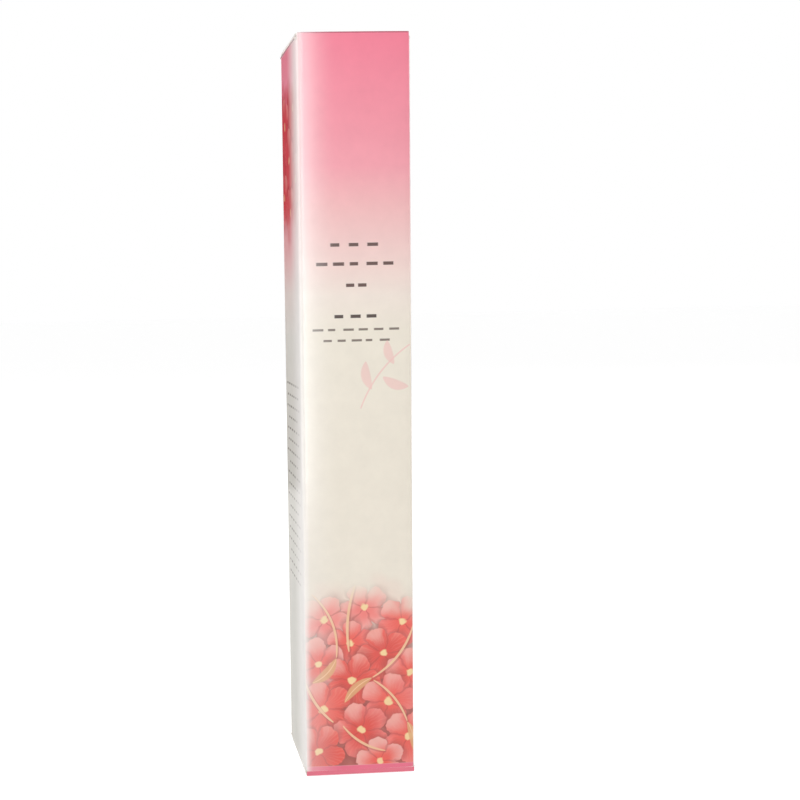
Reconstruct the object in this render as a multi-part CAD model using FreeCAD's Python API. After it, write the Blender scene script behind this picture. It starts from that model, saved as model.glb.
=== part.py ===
"""Boxed nail oil pen: a folded paperboard carton that holds a twist-up brush pen.

The carton is one board blank, divided here at its creases: four walls, a glue flap, and at each end
a lid, its tuck flap and two dust flaps. The pen stands inside, knob down. Turning the knob turns a
lead screw through a fixed nut, and the screw drives a piston that feeds oil to the brush.

Millimetres, +Z up, the origin under the middle of the carton, its printed front facing -Y.
"""
import FreeCAD, Part
import math
import os

Vector = FreeCAD.Vector

# Pen outline, from the knob up
pen_radius = 7.0
knob_length = 22.0
turn_gap = 0.25
barrel_length = 58.0
flange_thickness = 1.6
cap_seat_gap = 0.1

# Fits
press_gap = 0.02
running_gap = 0.1
overrun = 5.0

# Carton board, and the room that it leaves round the pen
board = 0.4
board_gap = 0.075
slip_gap = 0.15
fold_radius = 0.6
crease_round_share = 0.75
lid_side_inset = 0.2
pen_side_room = 2.6
pen_headroom = 10.0
pen_seat_gap = 0.1

# Carton flaps
tuck_length = 10.0
tuck_lean = 8.0
tuck_crease_gap = 0.1
tuck_side_gap = 0.35
tuck_corner_radius = 3.0
dust_length = 8.0
dust_front_gap = 0.45
dust_back_taper_share = 0.6
dust_front_taper_share = 0.3
glue_flap_width = 6.0
glue_flap_end_gap = 2.0

# Knob and its drive
knob_wall = 1.4
knob_top = 2.0
knob_edge_round = 0.5
flute_count = 28
flute_radius = 0.45
flute_depth = 0.22
flute_end = 2.5
plug_thickness = 2.0
drive_flange = 1.5
drive_share = 0.6
drive_wall = 0.9
drive_top_gap = 0.6
bush_length = 4.9
bush_end_gap = 0.1
clip_gap = 0.1
clip_thickness = 1.0

# Click ratchet and its spring
mechanism_side_gap = 0.5
spring_wire_radius = 0.3
spring_side_gap = 1.0
spring_pitch = 1.2
spring_turns = 2
ratchet_body = 1.5
ratchet_tooth_height = 0.7
ratchet_tooth_count = 12
ratchet_tooth_gap = 0.1

# Nut and lead screw
nut_length = 6.5
thread_lead = 3.0
thread_depth = 0.7
thread_root_width = 1.4
thread_crest_width = 0.5
thread_gap = 0.12
thread_sink = 0.2
screw_flat_depth = 0.2
screw_foot_gap = 0.4
screw_neck_length = 2.5
screw_head_radius = 2.9
screw_head_length = 2.0

# Barrel, reservoir and piston
barrel_wall = 1.2
mechanism_bore_step = 0.2
piston_start_gap = 1.0
piston_length = 8.0
piston_throat_gap = 0.4
piston_land = 0.6
piston_end_gap = 1.25
ring_section_radius = 0.5
ring_bite = 0.02

# Brush end
holder_plug_length = 4.95
holder_collar_gap = 0.3
holder_collar_length = 8.0
holder_bead_height = 0.15
holder_cone_gap = 0.2
holder_tip_radius = 2.6
holder_cone_length = 7.0
holder_channel_radius = 0.75
ferrule_depth = 6.0
ferrule_stand = 2.0
ferrule_radius = 2.0
ferrule_wall = 0.35
feed_radius = 0.7
feed_bore_radius = 0.4
feed_root = 7.0
feed_reach = 6.0
tuft_length = 16.0
tuft_belly_radius = 1.9
tuft_tip_radius = 0.45
tuft_belly_share = 0.15
tuft_shoulder_share = 0.65

# Cap
cap_wall = 1.1
cap_top = 1.5
cap_edge_round = 0.8
liner_wall = 1.48
liner_foot_gap = 0.8
liner_top = 2.0
tuft_tip_gap = 0.78

# Worked out: the pen's heights, measured from the pen's own foot
barrel_low = knob_length + turn_gap
barrel_high = barrel_low + barrel_length
flange_high = barrel_high + flange_thickness
cap_low = flange_high + cap_seat_gap
bore_radius = pen_radius - barrel_wall
chamber_radius = bore_radius + mechanism_bore_step

# Worked out: the radii of the drive line, from the barrel's wall inwards
ratchet_radius = chamber_radius - mechanism_side_gap
spring_mean_radius = chamber_radius - spring_side_gap - spring_wire_radius
drive_radius = chamber_radius * drive_share
thread_crest_radius = drive_radius - drive_wall - running_gap
thread_root_radius = thread_crest_radius - thread_depth
screw_across_flats = 2 * (thread_root_radius - screw_flat_depth)
screw_neck_radius = screw_across_flats / 2

# Worked out: the drive line, from the knob's plug up to the piston
drive_low = plug_thickness
bush_low = barrel_low + bush_end_gap
bush_high = bush_low + bush_length
clip_low = bush_high + clip_gap
clip_high = clip_low + clip_thickness
spring_low = clip_high + running_gap
spring_height = spring_turns * spring_pitch + 2 * spring_wire_radius
ratchet_low = spring_low + spring_height + running_gap
ratchet_high = ratchet_low + ratchet_body + ratchet_tooth_height
nut_teeth_low = ratchet_high + ratchet_tooth_gap
nut_low = nut_teeth_low + ratchet_tooth_height
nut_high = nut_low + nut_length
drive_high = nut_low - drive_top_gap
screw_low = drive_low + drive_flange + screw_foot_gap
piston_low = nut_high + piston_start_gap
neck_low = piston_low - running_gap
head_low = neck_low + screw_neck_length
head_high = head_low + screw_head_length
piston_high = piston_low + piston_length
plug_low = barrel_high - holder_plug_length
screw_travel = plug_low - piston_end_gap - piston_high

# Worked out: the brush end
collar_high = flange_high + holder_collar_length
holder_high = collar_high + holder_cone_length
ferrule_low = holder_high - ferrule_depth
ferrule_high = holder_high + ferrule_stand
tuft_high = ferrule_high + tuft_length
liner_low = collar_high + liner_foot_gap
cap_bore_radius = pen_radius - cap_wall
liner_radius = cap_bore_radius - press_gap
liner_bore_radius = liner_radius - liner_wall
holder_collar_radius = cap_bore_radius - holder_collar_gap
holder_cone_base_radius = liner_bore_radius - holder_cone_gap
liner_ceiling = tuft_high + tuft_tip_gap
liner_high = liner_ceiling + liner_top
pen_length = liner_high + press_gap + cap_top

# Worked out: the carton, closed round the pen
closure = 2 * board + board_gap
pen_base = closure + pen_seat_gap
carton_height = pen_base + pen_length + pen_headroom + closure
half_side = pen_radius + pen_side_room + board
inner_half = half_side - board
lid_front = -(inner_half - slip_gap)


def revolved(outline):
    """A solid of revolution about Z from a closed outline of (radius, height) points."""
    points = [Vector(radius, 0, height) for radius, height in outline]
    face = Part.Face(Part.makePolygon(points + points[:1]))
    return face.revolve(Vector(), Vector(0, 0, 1), 360)


def tube(outer, inner, low, high):
    """A plain tube standing on Z."""
    return revolved([(inner, low), (outer, low), (outer, high), (inner, high)])


def prism(outline, low, high):
    """A flat outline of (x, y) points, raised from low to high."""
    points = [Vector(x, y, low) for x, y in outline]
    face = Part.Face(Part.makePolygon(points + points[:1]))
    return face.extrude(Vector(0, 0, high - low))


def torus(ring_radius, section_radius, height):
    """A ring of round section, flat at this height."""
    return Part.makeTorus(ring_radius, section_radius, Vector(0, 0, height))


def edges_along(shape, chosen):
    """The edges of a shape whose middle passes the test."""
    return [edge for edge in shape.Edges if chosen(edge.CenterOfMass)]


def helical_ridge(root_radius, crest_radius, root_width, crest_width, low, high):
    """One thread ridge wound round Z, with its profile's middle running from low to high."""
    helix = Part.makeHelix(thread_lead, high - low, root_radius)
    helix.translate(Vector(0, 0, low))
    profile = Part.makePolygon([
        Vector(root_radius, 0, low - root_width / 2),
        Vector(crest_radius, 0, low - crest_width / 2),
        Vector(crest_radius, 0, low + crest_width / 2),
        Vector(root_radius, 0, low + root_width / 2),
        Vector(root_radius, 0, low - root_width / 2),
    ])
    shell = Part.BRepOffsetAPI.MakePipeShell(Part.Wire(helix.Edges))
    shell.setFrenetMode(True)
    shell.add(Part.Wire(profile.Edges), False, False)
    shell.build()
    shell.makeSolid()
    return shell.shape()


def crown_teeth(outer, inner, low, height, rising):
    """A ring of saw teeth standing on a face: rising ones point up, the others hang down."""
    tooth_angle = 2 * math.pi / ratchet_tooth_count
    reach = outer + overrun
    wedge = Part.makePolygon([
        Vector(0, 0, 0),
        Vector(0, reach * math.tan(tooth_angle / 2), 0),
        Vector(0, 0, height if rising else -height),
        Vector(0, 0, 0),
    ])
    blade = Part.Face(wedge).extrude(Vector(reach, 0, 0))
    band_low, band_high = (low, low + height) if rising else (low - height, low)
    band = tube(outer, inner, band_low, band_high)
    teeth = []
    for index in range(ratchet_tooth_count):
        tooth = blade.copy()
        tooth.translate(Vector(0, 0, low))
        tooth.rotate(Vector(), Vector(0, 0, 1), math.degrees(tooth_angle) * index)
        teeth.append(tooth.common(band))
    return teeth


def carton_walls():
    """The four walls of the sleeve, mitred at the vertical folds."""
    outer = Part.makeBox(2 * half_side, 2 * half_side, carton_height, Vector(-half_side, -half_side, 0))
    upright = [edge for edge in outer.Edges if abs(edge.BoundBox.ZLength - carton_height) < board]
    outer = outer.makeFillet(fold_radius, upright)
    inner = Part.makeBox(2 * inner_half, 2 * inner_half, carton_height, Vector(-inner_half, -inner_half, 0))
    sleeve = outer.cut(inner)
    far = half_side + overrun
    near = half_side - 2 * board
    stacked = closure + board_gap
    spans = {
        "front_panel": (0, board + board_gap, carton_height),
        "right_panel": (90, stacked, carton_height - stacked),
        "back_panel": (180, 0, carton_height - board - board_gap),
        "left_panel": (270, stacked, carton_height - stacked),
    }
    walls = {}
    for name, (turn, low, high) in spans.items():
        mitre = prism([(-far, -far), (far, -far), (near, -near), (-near, -near)], low, high)
        mitre.rotate(Vector(), Vector(0, 0, 1), turn)
        walls[name] = sleeve.common(mitre)
    return walls


def glue_flap():
    """The strip that joins the sleeve, bonded inside the back wall beside the left fold."""
    clear_end = closure + tuck_length + glue_flap_end_gap
    slope = glue_flap_width / 2
    low, high = clear_end, carton_height - clear_end
    near, far = -inner_half + slip_gap, -inner_half + slip_gap + glue_flap_width
    outline = [(near, low), (far, low + slope), (far, high - slope), (near, high)]
    points = [Vector(x, inner_half - board, z) for x, z in outline]
    face = Part.Face(Part.makePolygon(points + points[:1]))
    return face.extrude(Vector(0, board, 0))


def end_closure():
    """The top lid, its tuck flap and both dust flaps, closed."""
    lid_half = half_side - lid_side_inset
    lid_low = carton_height - board
    lid = Part.makeBox(2 * lid_half, half_side - lid_front, board, Vector(-lid_half, lid_front, lid_low))
    fold_edge = edges_along(lid, lambda p: p.y > inner_half and p.z > carton_height - board / 2)
    lid = lid.makeFillet(board * crease_round_share, fold_edge)

    tuck_half = inner_half - tuck_side_gap
    corner = min(tuck_corner_radius, tuck_half / 2)
    tuck = Part.makeBox(
        2 * tuck_half, board, tuck_length - tuck_crease_gap,
        Vector(-tuck_half, lid_front, lid_low - tuck_length),
    )
    free_corners = edges_along(
        tuck, lambda p: abs(p.x) > tuck_half - slip_gap and p.z < lid_low - tuck_length + slip_gap
    )
    upright = [edge for edge in free_corners if edge.BoundBox.YLength > board / 2]
    tuck = tuck.makeFillet(corner, upright)
    tuck_crease = Vector(0, lid_front + board, lid_low - tuck_crease_gap)
    tuck.rotate(tuck_crease, Vector(1, 0, 0), tuck_lean)

    dust_low = lid_low - board_gap - board
    dust_back = inner_half - slip_gap
    dust_front = lid_front + board + dust_front_gap
    back_cut = dust_length * dust_back_taper_share
    front_cut = dust_length * dust_front_taper_share
    left_dust = prism([
        (-half_side, dust_front),
        (-half_side + dust_length, dust_front + front_cut),
        (-half_side + dust_length, dust_back - back_cut),
        (-half_side, dust_back),
    ], dust_low, dust_low + board)
    fold = edges_along(left_dust, lambda p: p.x < board / 2 - half_side and p.z > dust_low + board / 2)
    left_dust = left_dust.makeFillet(board * crease_round_share, fold)
    right_dust = left_dust.mirror(Vector(), Vector(1, 0, 0))
    return {"lid": lid, "tuck_flap": tuck, "dust_flap_left": left_dust, "dust_flap_right": right_dust}


def carton():
    """Every piece of the carton. The bottom end is the top end turned over, which makes a reverse tuck."""
    pieces = carton_walls()
    pieces["glue_flap"] = glue_flap()
    middle = Vector(0, 0, carton_height / 2)
    for name, piece in end_closure().items():
        pieces["top_" + name] = piece
        turned = piece.copy()
        turned.rotate(middle, Vector(1, 0, 0), 180)
        pieces["bottom_" + name] = turned
    return pieces


def twist_knob():
    """The fluted grip: a cup open at its foot, with a hole in its top for the drive tube."""
    bore = pen_radius - knob_wall
    ceiling = knob_length - knob_top
    hole = drive_radius + press_gap
    knob = revolved([
        (bore, 0), (pen_radius, 0), (pen_radius, knob_length),
        (hole, knob_length), (hole, ceiling), (bore, ceiling),
    ])
    rims = [edge for edge in knob.Edges if edge.BoundBox.ZLength < press_gap
            and edge.BoundBox.XLength > 2 * pen_radius - press_gap]
    knob = knob.makeFillet(knob_edge_round, rims)
    flutes = []
    for index in range(flute_count):
        flute = Part.makeCylinder(flute_radius, knob_length - 2 * flute_end,
                                  Vector(pen_radius + flute_radius - flute_depth, 0, flute_end))
        flute.rotate(Vector(), Vector(0, 0, 1), index * 360 / flute_count)
        flutes.append(flute)
    return knob.cut(flutes)


def keyed_bore(across, radius, low, high):
    """A round core with two flats, as the lead screw has."""
    core = Part.makeCylinder(radius, high - low, Vector(0, 0, low))
    flats = Part.makeBox(2 * radius, across, high - low, Vector(-radius, -across / 2, low))
    return core.common(flats)


def knob_drive():
    """What turns with the knob: its plug, the drive tube, the clip, the spring and the ratchet ring."""
    bore = pen_radius - knob_wall - press_gap
    tube_foot = drive_low + drive_flange
    core = keyed_bore(screw_across_flats + 2 * running_gap, thread_crest_radius + running_gap,
                      tube_foot, drive_high)
    drive = revolved([
        (0, drive_low), (bore, drive_low), (bore, tube_foot), (drive_radius, tube_foot),
        (drive_radius, drive_high), (0, drive_high),
    ]).cut(core)
    ring_bore = drive_radius + running_gap
    ratchet = tube(ratchet_radius, ring_bore, ratchet_low, ratchet_low + ratchet_body)
    teeth = crown_teeth(ratchet_radius, ring_bore, ratchet_low + ratchet_body, ratchet_tooth_height, True)
    return {
        "knob_end_plug": Part.makeCylinder(bore, plug_thickness),
        "drive_tube": drive,
        "retaining_clip": tube(ratchet_radius, drive_radius + press_gap, clip_low, clip_high),
        "click_spring": click_spring(),
        "ratchet_ring": ratchet.fuse(teeth).removeSplitter(),
    }


def click_spring():
    """A short open coil between the clip and the ratchet ring."""
    start = spring_low + spring_wire_radius
    helix = Part.makeHelix(spring_pitch, spring_turns * spring_pitch, spring_mean_radius)
    helix.translate(Vector(0, 0, start))
    section = Part.makeCircle(spring_wire_radius, Vector(spring_mean_radius, 0, start), Vector(0, 1, 0))
    shell = Part.BRepOffsetAPI.MakePipeShell(Part.Wire(helix.Edges))
    shell.setFrenetMode(True)
    shell.add(Part.Wire([section]), False, False)
    shell.build()
    shell.makeSolid()
    print(f"click spring: least gap between turns {spring_pitch - 2 * spring_wire_radius:.2f} mm")
    return shell.shape()


def screw_nut():
    """The fixed nut, pressed up to the step in the barrel, with ratchet teeth under it."""
    outer = chamber_radius - press_gap
    nut = Part.makeCylinder(outer, nut_length, Vector(0, 0, nut_low))
    teeth = crown_teeth(ratchet_radius, drive_radius + running_gap, nut_low, ratchet_tooth_height, False)
    bore = Part.makeCylinder(
        thread_root_radius + thread_gap, nut_length + 2 * overrun, Vector(0, 0, nut_low - overrun)
    )
    groove = helical_ridge(
        thread_root_radius - thread_sink, thread_crest_radius + thread_gap,
        thread_foot_width() + 2 * thread_gap, thread_crest_width + 2 * thread_gap,
        thread_start() + turns_below_nut() * thread_lead,
        thread_start() + turns_past_nut() * thread_lead,
    )
    return nut.cut(bore.fuse(groove)).fuse(teeth).removeSplitter()


def thread_foot_width():
    """The width of the thread where it is sunk into the core, on the line of its flanks."""
    flank = (thread_root_width - thread_crest_width) / (thread_crest_radius - thread_root_radius)
    return thread_root_width + flank * thread_sink


def thread_start():
    """The height of the middle of the screw's first thread."""
    return screw_low + thread_root_width


def turns_below_nut():
    """Whole turns of thread that end at least one lead below the nut."""
    return math.floor((nut_low - thread_start()) / thread_lead) - 1


def turns_past_nut():
    """Whole turns of thread that reach at least one lead above the nut."""
    return math.ceil((nut_high - thread_start()) / thread_lead) + 1


def lead_screw():
    """The flatted screw: thread below, and a neck and head that snap into the piston."""
    shank_high = neck_low
    core = Part.makeCylinder(thread_root_radius, shank_high - screw_low, Vector(0, 0, screw_low))
    ridge = helical_ridge(
        thread_root_radius - thread_sink, thread_crest_radius, thread_foot_width(), thread_crest_width,
        thread_start(), shank_high - thread_root_width,
    )
    reach = thread_crest_radius + overrun
    flats = Part.makeBox(
        2 * reach, screw_across_flats, shank_high - screw_low + 2 * overrun,
        Vector(-reach, -screw_across_flats / 2, screw_low - overrun),
    )
    shank = core.fuse(ridge).common(flats)
    head = revolved([
        (0, shank_high), (screw_neck_radius, shank_high), (screw_neck_radius, head_low),
        (screw_head_radius, head_low), (screw_head_radius, head_high), (0, head_high),
    ])
    return shank.fuse(head)


def barrel():
    """The clear tube: a wider bore for the mechanism, a step for the nut, and the reservoir above."""
    step = nut_high + press_gap
    return revolved([
        (chamber_radius, barrel_low), (pen_radius, barrel_low), (pen_radius, barrel_high),
        (bore_radius, barrel_high), (bore_radius, step), (chamber_radius, step),
    ])


def end_bush():
    """The bearing pressed into the barrel's foot, in which the drive tube turns."""
    return tube(chamber_radius - press_gap, drive_radius + running_gap, bush_low, bush_high)


def ring_seat():
    """The ring radius of an O-ring that just meets the reservoir wall."""
    return bore_radius - press_gap - ring_section_radius


def grooved(plug, height):
    """A plug with a groove for its O-ring, and the ring."""
    groove = torus(ring_seat(), ring_section_radius + ring_bite, height)
    return plug.cut(groove), torus(ring_seat(), ring_section_radius, height)


def piston():
    """The piston, with sealing lands at both ends, a socket for the screw's head, and its O-ring."""
    outer = bore_radius - running_gap / 2
    waist = outer - piston_land / 2
    throat = screw_neck_radius + piston_throat_gap
    socket = screw_head_radius + running_gap
    socket_low = head_low - running_gap
    socket_high = head_high + running_gap
    body = revolved([
        (throat, piston_low), (outer, piston_low), (outer, piston_low + piston_land),
        (waist, piston_low + 2 * piston_land), (waist, piston_high - 2 * piston_land),
        (outer, piston_high - piston_land), (outer, piston_high), (0, piston_high),
        (0, socket_high), (socket, socket_high), (socket, socket_low), (throat, socket_low),
    ])
    return grooved(body, (piston_low + piston_high) / 2)


def oil_fill():
    """The oil, filling the reservoir between the piston and the brush holder."""
    low = piston_high + press_gap
    high = plug_low - press_gap
    return Part.makeCylinder(bore_radius - press_gap, high - low, Vector(0, 0, low))


def brush_holder():
    """The moulded nose: a plug in the barrel, a flange, a snap collar for the cap and a cone."""
    plug = bore_radius - press_gap
    bead_middle = (flange_high + collar_high) / 2
    bead = holder_collar_radius + holder_bead_height
    socket = ferrule_radius + press_gap
    body = revolved([
        (holder_channel_radius, plug_low), (plug, plug_low), (plug, barrel_high), (pen_radius, barrel_high),
        (pen_radius, flange_high), (holder_collar_radius, flange_high),
        (holder_collar_radius, bead_middle - holder_bead_height * 2), (bead, bead_middle),
        (holder_collar_radius, bead_middle + holder_bead_height * 2), (holder_collar_radius, collar_high),
        (holder_cone_base_radius, collar_high), (holder_tip_radius, holder_high), (socket, holder_high),
        (socket, ferrule_low), (holder_channel_radius, ferrule_low),
    ])
    return grooved(body, (plug_low + barrel_high) / 2)


def brush_ferrule():
    """The metal sleeve that holds the bristles."""
    return tube(ferrule_radius, ferrule_radius - ferrule_wall, ferrule_low + press_gap, ferrule_high)


def feed_tube():
    """The fine tube that carries oil from the reservoir into the bristles."""
    low = ferrule_low - feed_root
    return tube(feed_radius, feed_bore_radius, low, ferrule_high + feed_reach)


def brush_tuft():
    """The bristles as one soft form: held in the ferrule, swelling, then drawn to a point."""
    root = ferrule_radius - ferrule_wall - press_gap
    belly = ferrule_high + tuft_length * tuft_belly_share
    shoulder = ferrule_high + tuft_length * tuft_shoulder_share
    mean_shoulder = (tuft_belly_radius + tuft_tip_radius) / 2
    tuft = revolved([
        (0, ferrule_low + press_gap), (root, ferrule_low + press_gap), (root, ferrule_high),
        (tuft_belly_radius, belly), (mean_shoulder, shoulder), (tuft_tip_radius, tuft_high), (0, tuft_high),
    ])
    hole_high = ferrule_high + feed_reach + press_gap
    hole = Part.makeCylinder(feed_radius + press_gap, hole_high - ferrule_low, Vector(0, 0, ferrule_low))
    return tuft.cut(hole)


def cap():
    """The clear cap, round-shouldered, open at its foot."""
    ceiling = pen_length - cap_top
    shell = revolved([
        (cap_bore_radius, cap_low), (pen_radius, cap_low), (pen_radius, pen_length), (0, pen_length),
        (0, ceiling), (cap_bore_radius, ceiling),
    ])
    shoulder = edges_along(shell, lambda p: p.z > pen_length - press_gap)
    return shell.makeFillet(cap_edge_round, shoulder)


def cap_liner():
    """The soft inner cap that closes over the nose and keeps the bristles wet."""
    return revolved([
        (liner_bore_radius, liner_low), (liner_radius, liner_low), (liner_radius, liner_high), (0, liner_high),
        (0, liner_ceiling), (liner_bore_radius, liner_ceiling),
    ])


def pen():
    """Every piece of the pen, standing on the carton's lower dust flaps."""
    piston_body, piston_ring = piston()
    holder, holder_ring = brush_holder()
    pieces = {
        "twist_knob": twist_knob(),
        **knob_drive(),
        "end_bush": end_bush(),
        "screw_nut": screw_nut(),
        "lead_screw": lead_screw(),
        "piston": piston_body,
        "piston_o_ring": piston_ring,
        "barrel": barrel(),
        "oil_fill": oil_fill(),
        "brush_holder": holder,
        "holder_o_ring": holder_ring,
        "brush_ferrule": brush_ferrule(),
        "feed_tube": feed_tube(),
        "brush_tuft": brush_tuft(),
        "cap": cap(),
        "cap_liner": cap_liner(),
    }
    for piece in pieces.values():
        piece.translate(Vector(0, 0, pen_base))
    return pieces


def main():
    os.makedirs("parts", exist_ok=True)
    for name, shape in {**carton(), **pen()}.items():
        shape.exportStep(f"parts/{name}.step")
        print(f"{name}: {len(shape.Solids)} solid, {shape.Volume:.1f} mm3, valid {shape.isValid()}")
    print(f"carton {2 * half_side:.2f} wide, {carton_height:.2f} tall, pen {pen_length:.2f} long")
    print(f"screw travel {screw_travel:.2f}, {screw_travel / thread_lead:.2f} turns of the knob")


main()
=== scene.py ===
# %% [markdown]
# A boxed nail oil pen, dressed for the camera.
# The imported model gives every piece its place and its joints. Here the carton's board gets its
# folds, its print and its gloss, and the pen inside gets its plastics, oil and bristles.

# %% Load the fixed frame
import math

import bmesh
import bpy
from mathutils import Matrix, Vector


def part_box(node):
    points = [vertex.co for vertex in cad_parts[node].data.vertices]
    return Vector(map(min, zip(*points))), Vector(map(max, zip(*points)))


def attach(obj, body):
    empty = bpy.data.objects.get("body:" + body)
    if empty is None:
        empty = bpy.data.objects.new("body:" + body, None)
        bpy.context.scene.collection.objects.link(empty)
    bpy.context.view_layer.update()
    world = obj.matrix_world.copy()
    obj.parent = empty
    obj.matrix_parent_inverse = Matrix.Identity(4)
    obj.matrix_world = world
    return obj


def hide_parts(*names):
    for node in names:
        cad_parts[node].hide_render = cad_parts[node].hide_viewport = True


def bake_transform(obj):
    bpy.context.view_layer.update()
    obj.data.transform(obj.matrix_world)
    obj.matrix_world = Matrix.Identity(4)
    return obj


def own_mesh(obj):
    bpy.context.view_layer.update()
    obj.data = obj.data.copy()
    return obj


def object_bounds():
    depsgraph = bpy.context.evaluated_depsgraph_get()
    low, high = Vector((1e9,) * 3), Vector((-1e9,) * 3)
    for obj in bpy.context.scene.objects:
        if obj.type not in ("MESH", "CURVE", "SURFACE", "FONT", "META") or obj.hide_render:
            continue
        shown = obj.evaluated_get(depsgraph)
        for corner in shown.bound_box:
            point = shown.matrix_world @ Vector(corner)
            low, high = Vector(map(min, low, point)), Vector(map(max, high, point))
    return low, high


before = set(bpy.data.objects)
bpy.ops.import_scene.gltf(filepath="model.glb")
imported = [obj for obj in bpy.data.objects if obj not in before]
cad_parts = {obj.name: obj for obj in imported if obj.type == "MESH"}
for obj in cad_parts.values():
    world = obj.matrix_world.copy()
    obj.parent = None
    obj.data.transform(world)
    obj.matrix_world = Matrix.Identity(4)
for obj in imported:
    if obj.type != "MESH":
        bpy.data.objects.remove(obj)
cad_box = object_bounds()
MM = 0.001
CARTON_TOP = cad_box[1][2] / MM
HALF = cad_box[1][0] / MM
scene = bpy.context.scene
print(f"carton {2 * HALF:.2f} mm wide and {CARTON_TOP:.2f} mm tall")

# %% [markdown]
# The camera comes first, because every later choice is judged through it.
# The photograph sees the front nearly square on, from a little to its left and above its middle.
# The carton stands left of the picture's middle there. Turning the camera away would skew the
# front, so a sideways shift of the lens places it instead.

# %% Camera
camera_place = Vector((-40.9, -222.3, 88.5)) * MM
camera_yaw, camera_pitch, camera_roll = (math.radians(turn) for turn in (-3.59, -5.34, -1.26))
focal_pixels, picture_pixels, axis_pixel = 1229, 800, 200
sensor_mm = 36

forward = Vector((-math.sin(camera_yaw) * math.cos(camera_pitch),
                  math.cos(camera_yaw) * math.cos(camera_pitch), math.sin(camera_pitch)))
level_right = Vector((math.cos(camera_yaw), math.sin(camera_yaw), 0))
level_up = level_right.cross(forward)
right = level_right * math.cos(camera_roll) + level_up * math.sin(camera_roll)
up = level_up * math.cos(camera_roll) - level_right * math.sin(camera_roll)

camera = bpy.data.objects.new("camera", bpy.data.cameras.new("camera"))
scene.collection.objects.link(camera)
camera_turn = Matrix((right, up, -forward)).transposed().to_4x4()
camera.matrix_world = Matrix.Translation(camera_place) @ camera_turn
camera.data.sensor_width = sensor_mm
camera.data.lens = focal_pixels / picture_pixels * sensor_mm
camera.data.shift_x = 0.5 - axis_pixel / picture_pixels
camera.data.clip_start = MM
bpy.context.scene.camera = camera
print(f"camera lens {camera.data.lens:.1f} mm, shift {camera.data.shift_x:.3f}")

# %% [markdown]
# The studio is a white sweep with four soft lamps. Every material and the background is a tree of
# nodes, so a few helpers come first: one call then adds a node, sets it and links it.

# %% Node helpers
def put(tree, kind, *inputs, **settings):
    """Add a node, set its properties, then feed its inputs in order with values or links."""
    node = tree.nodes.new(kind)
    for name, value in settings.items():
        setattr(node, name, value)
    for socket, value in zip([s for s in node.inputs if s.enabled], inputs):
        feed(tree, socket, value)
    return node


def feed(tree, socket, value):
    """Link a socket from another one, or give it a constant value."""
    if isinstance(value, bpy.types.NodeSocket):
        tree.links.new(value, socket)
    elif value is not None:
        socket.default_value = value


def calc(tree, operation, *inputs):
    """One step of arithmetic on numbers."""
    return put(tree, "ShaderNodeMath", *inputs, operation=operation).outputs[0]


def times(tree, first, *others):
    """The product of two or more numbers."""
    for other in others:
        first = calc(tree, "MULTIPLY", first, other)
    return first


def scaled(tree, value, low, high, new_low, new_high):
    """A number carried over from one range to another."""
    return put(tree, "ShaderNodeMapRange", value, low, high, new_low, new_high).outputs[0]


print("node helpers:", [helper.__name__ for helper in (put, feed, calc, times, scaled)])

# %% Material helpers
def new_material(name):
    """A material with an empty tree, its shader and its output."""
    material = bpy.data.materials.new(name)
    material.use_nodes = True
    tree = material.node_tree
    tree.nodes.clear()
    shader = put(tree, "ShaderNodeBsdfPrincipled")
    output = put(tree, "ShaderNodeOutputMaterial")
    tree.links.new(shader.outputs[0], output.inputs[0])
    return material, tree, shader


def set_sockets(shader, **values):
    """Set constants on a shader's own sockets, named with _ for each space."""
    for name, value in values.items():
        shader.inputs[name.replace("_", " ")].default_value = value


print("material helpers:", [helper.__name__ for helper in (new_material, set_sockets)])

# %% [markdown]
# Glossy board shows its lamps, so their shape matters more than their number. A tall strip in
# front lights the print and is mirrored as a pale sheen where the board rolls over at the left
# fold. A second strip lights the left wall, and two broad boxes serve the sides that the
# photograph doesn't show. The background is white to the camera and to reflections, but only a
# modest fill to the board, so the colours of the print come out as they are written.

# %% Light
FILL_STRENGTH = 0.40
scene.view_settings.view_transform = "Standard"


def seen_directly(tree):
    """1 for what the camera sees, straight or by a reflection or through glass."""
    path = put(tree, "ShaderNodeLightPath").outputs
    mirrored = calc(tree, "MAXIMUM", path["Is Glossy Ray"], path["Is Transmission Ray"])
    return calc(tree, "MAXIMUM", path["Is Camera Ray"], mirrored)


def soft_box(name, place, aim, width, height, radiance):
    """A rectangular lamp that points at a place, with its brightness as seen in a mirror."""
    lamp = bpy.data.lights.new(name, "AREA")
    lamp.shape, lamp.size, lamp.size_y = "RECTANGLE", width, height
    lamp.energy = radiance * math.pi * width * height
    holder = bpy.data.objects.new(name, lamp)
    scene.collection.objects.link(holder)
    facing = (Vector(aim) - Vector(place)).to_track_quat("-Z", "Y").to_matrix().to_4x4()
    holder.matrix_world = Matrix.Translation(place) @ facing


world = bpy.data.worlds.new("white studio")
scene.world = world
world.use_nodes = True
sky = world.node_tree
sky.nodes.clear()
sky_strength = scaled(sky, seen_directly(sky), 0.0, 1.0, FILL_STRENGTH, 1.0)
white_light = put(sky, "ShaderNodeBackground", (1, 1, 1, 1), sky_strength)
sky.links.new(white_light.outputs[0], put(sky, "ShaderNodeOutputWorld").inputs[0])

carton_middle = (0, 0, 0.065)
# Lamps: name, place, aim, width, height, radiance
lamps = [
    ("front strip", (0.001, -0.25, 0.20), (0.001, 0, 0.20), 0.036, 0.39, 7.6),
    ("left strip", (-0.43, -0.10, 0.22), carton_middle, 0.07, 0.5, 7.0),
    ("right box", (0.50, 0.10, 0.30), carton_middle, 0.35, 0.5, 1.8),
    ("back box", (-0.1, 0.6, 0.45), carton_middle, 0.5, 0.3, 2.6),
]
for lamp_values in lamps:
    soft_box(*lamp_values)

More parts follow.
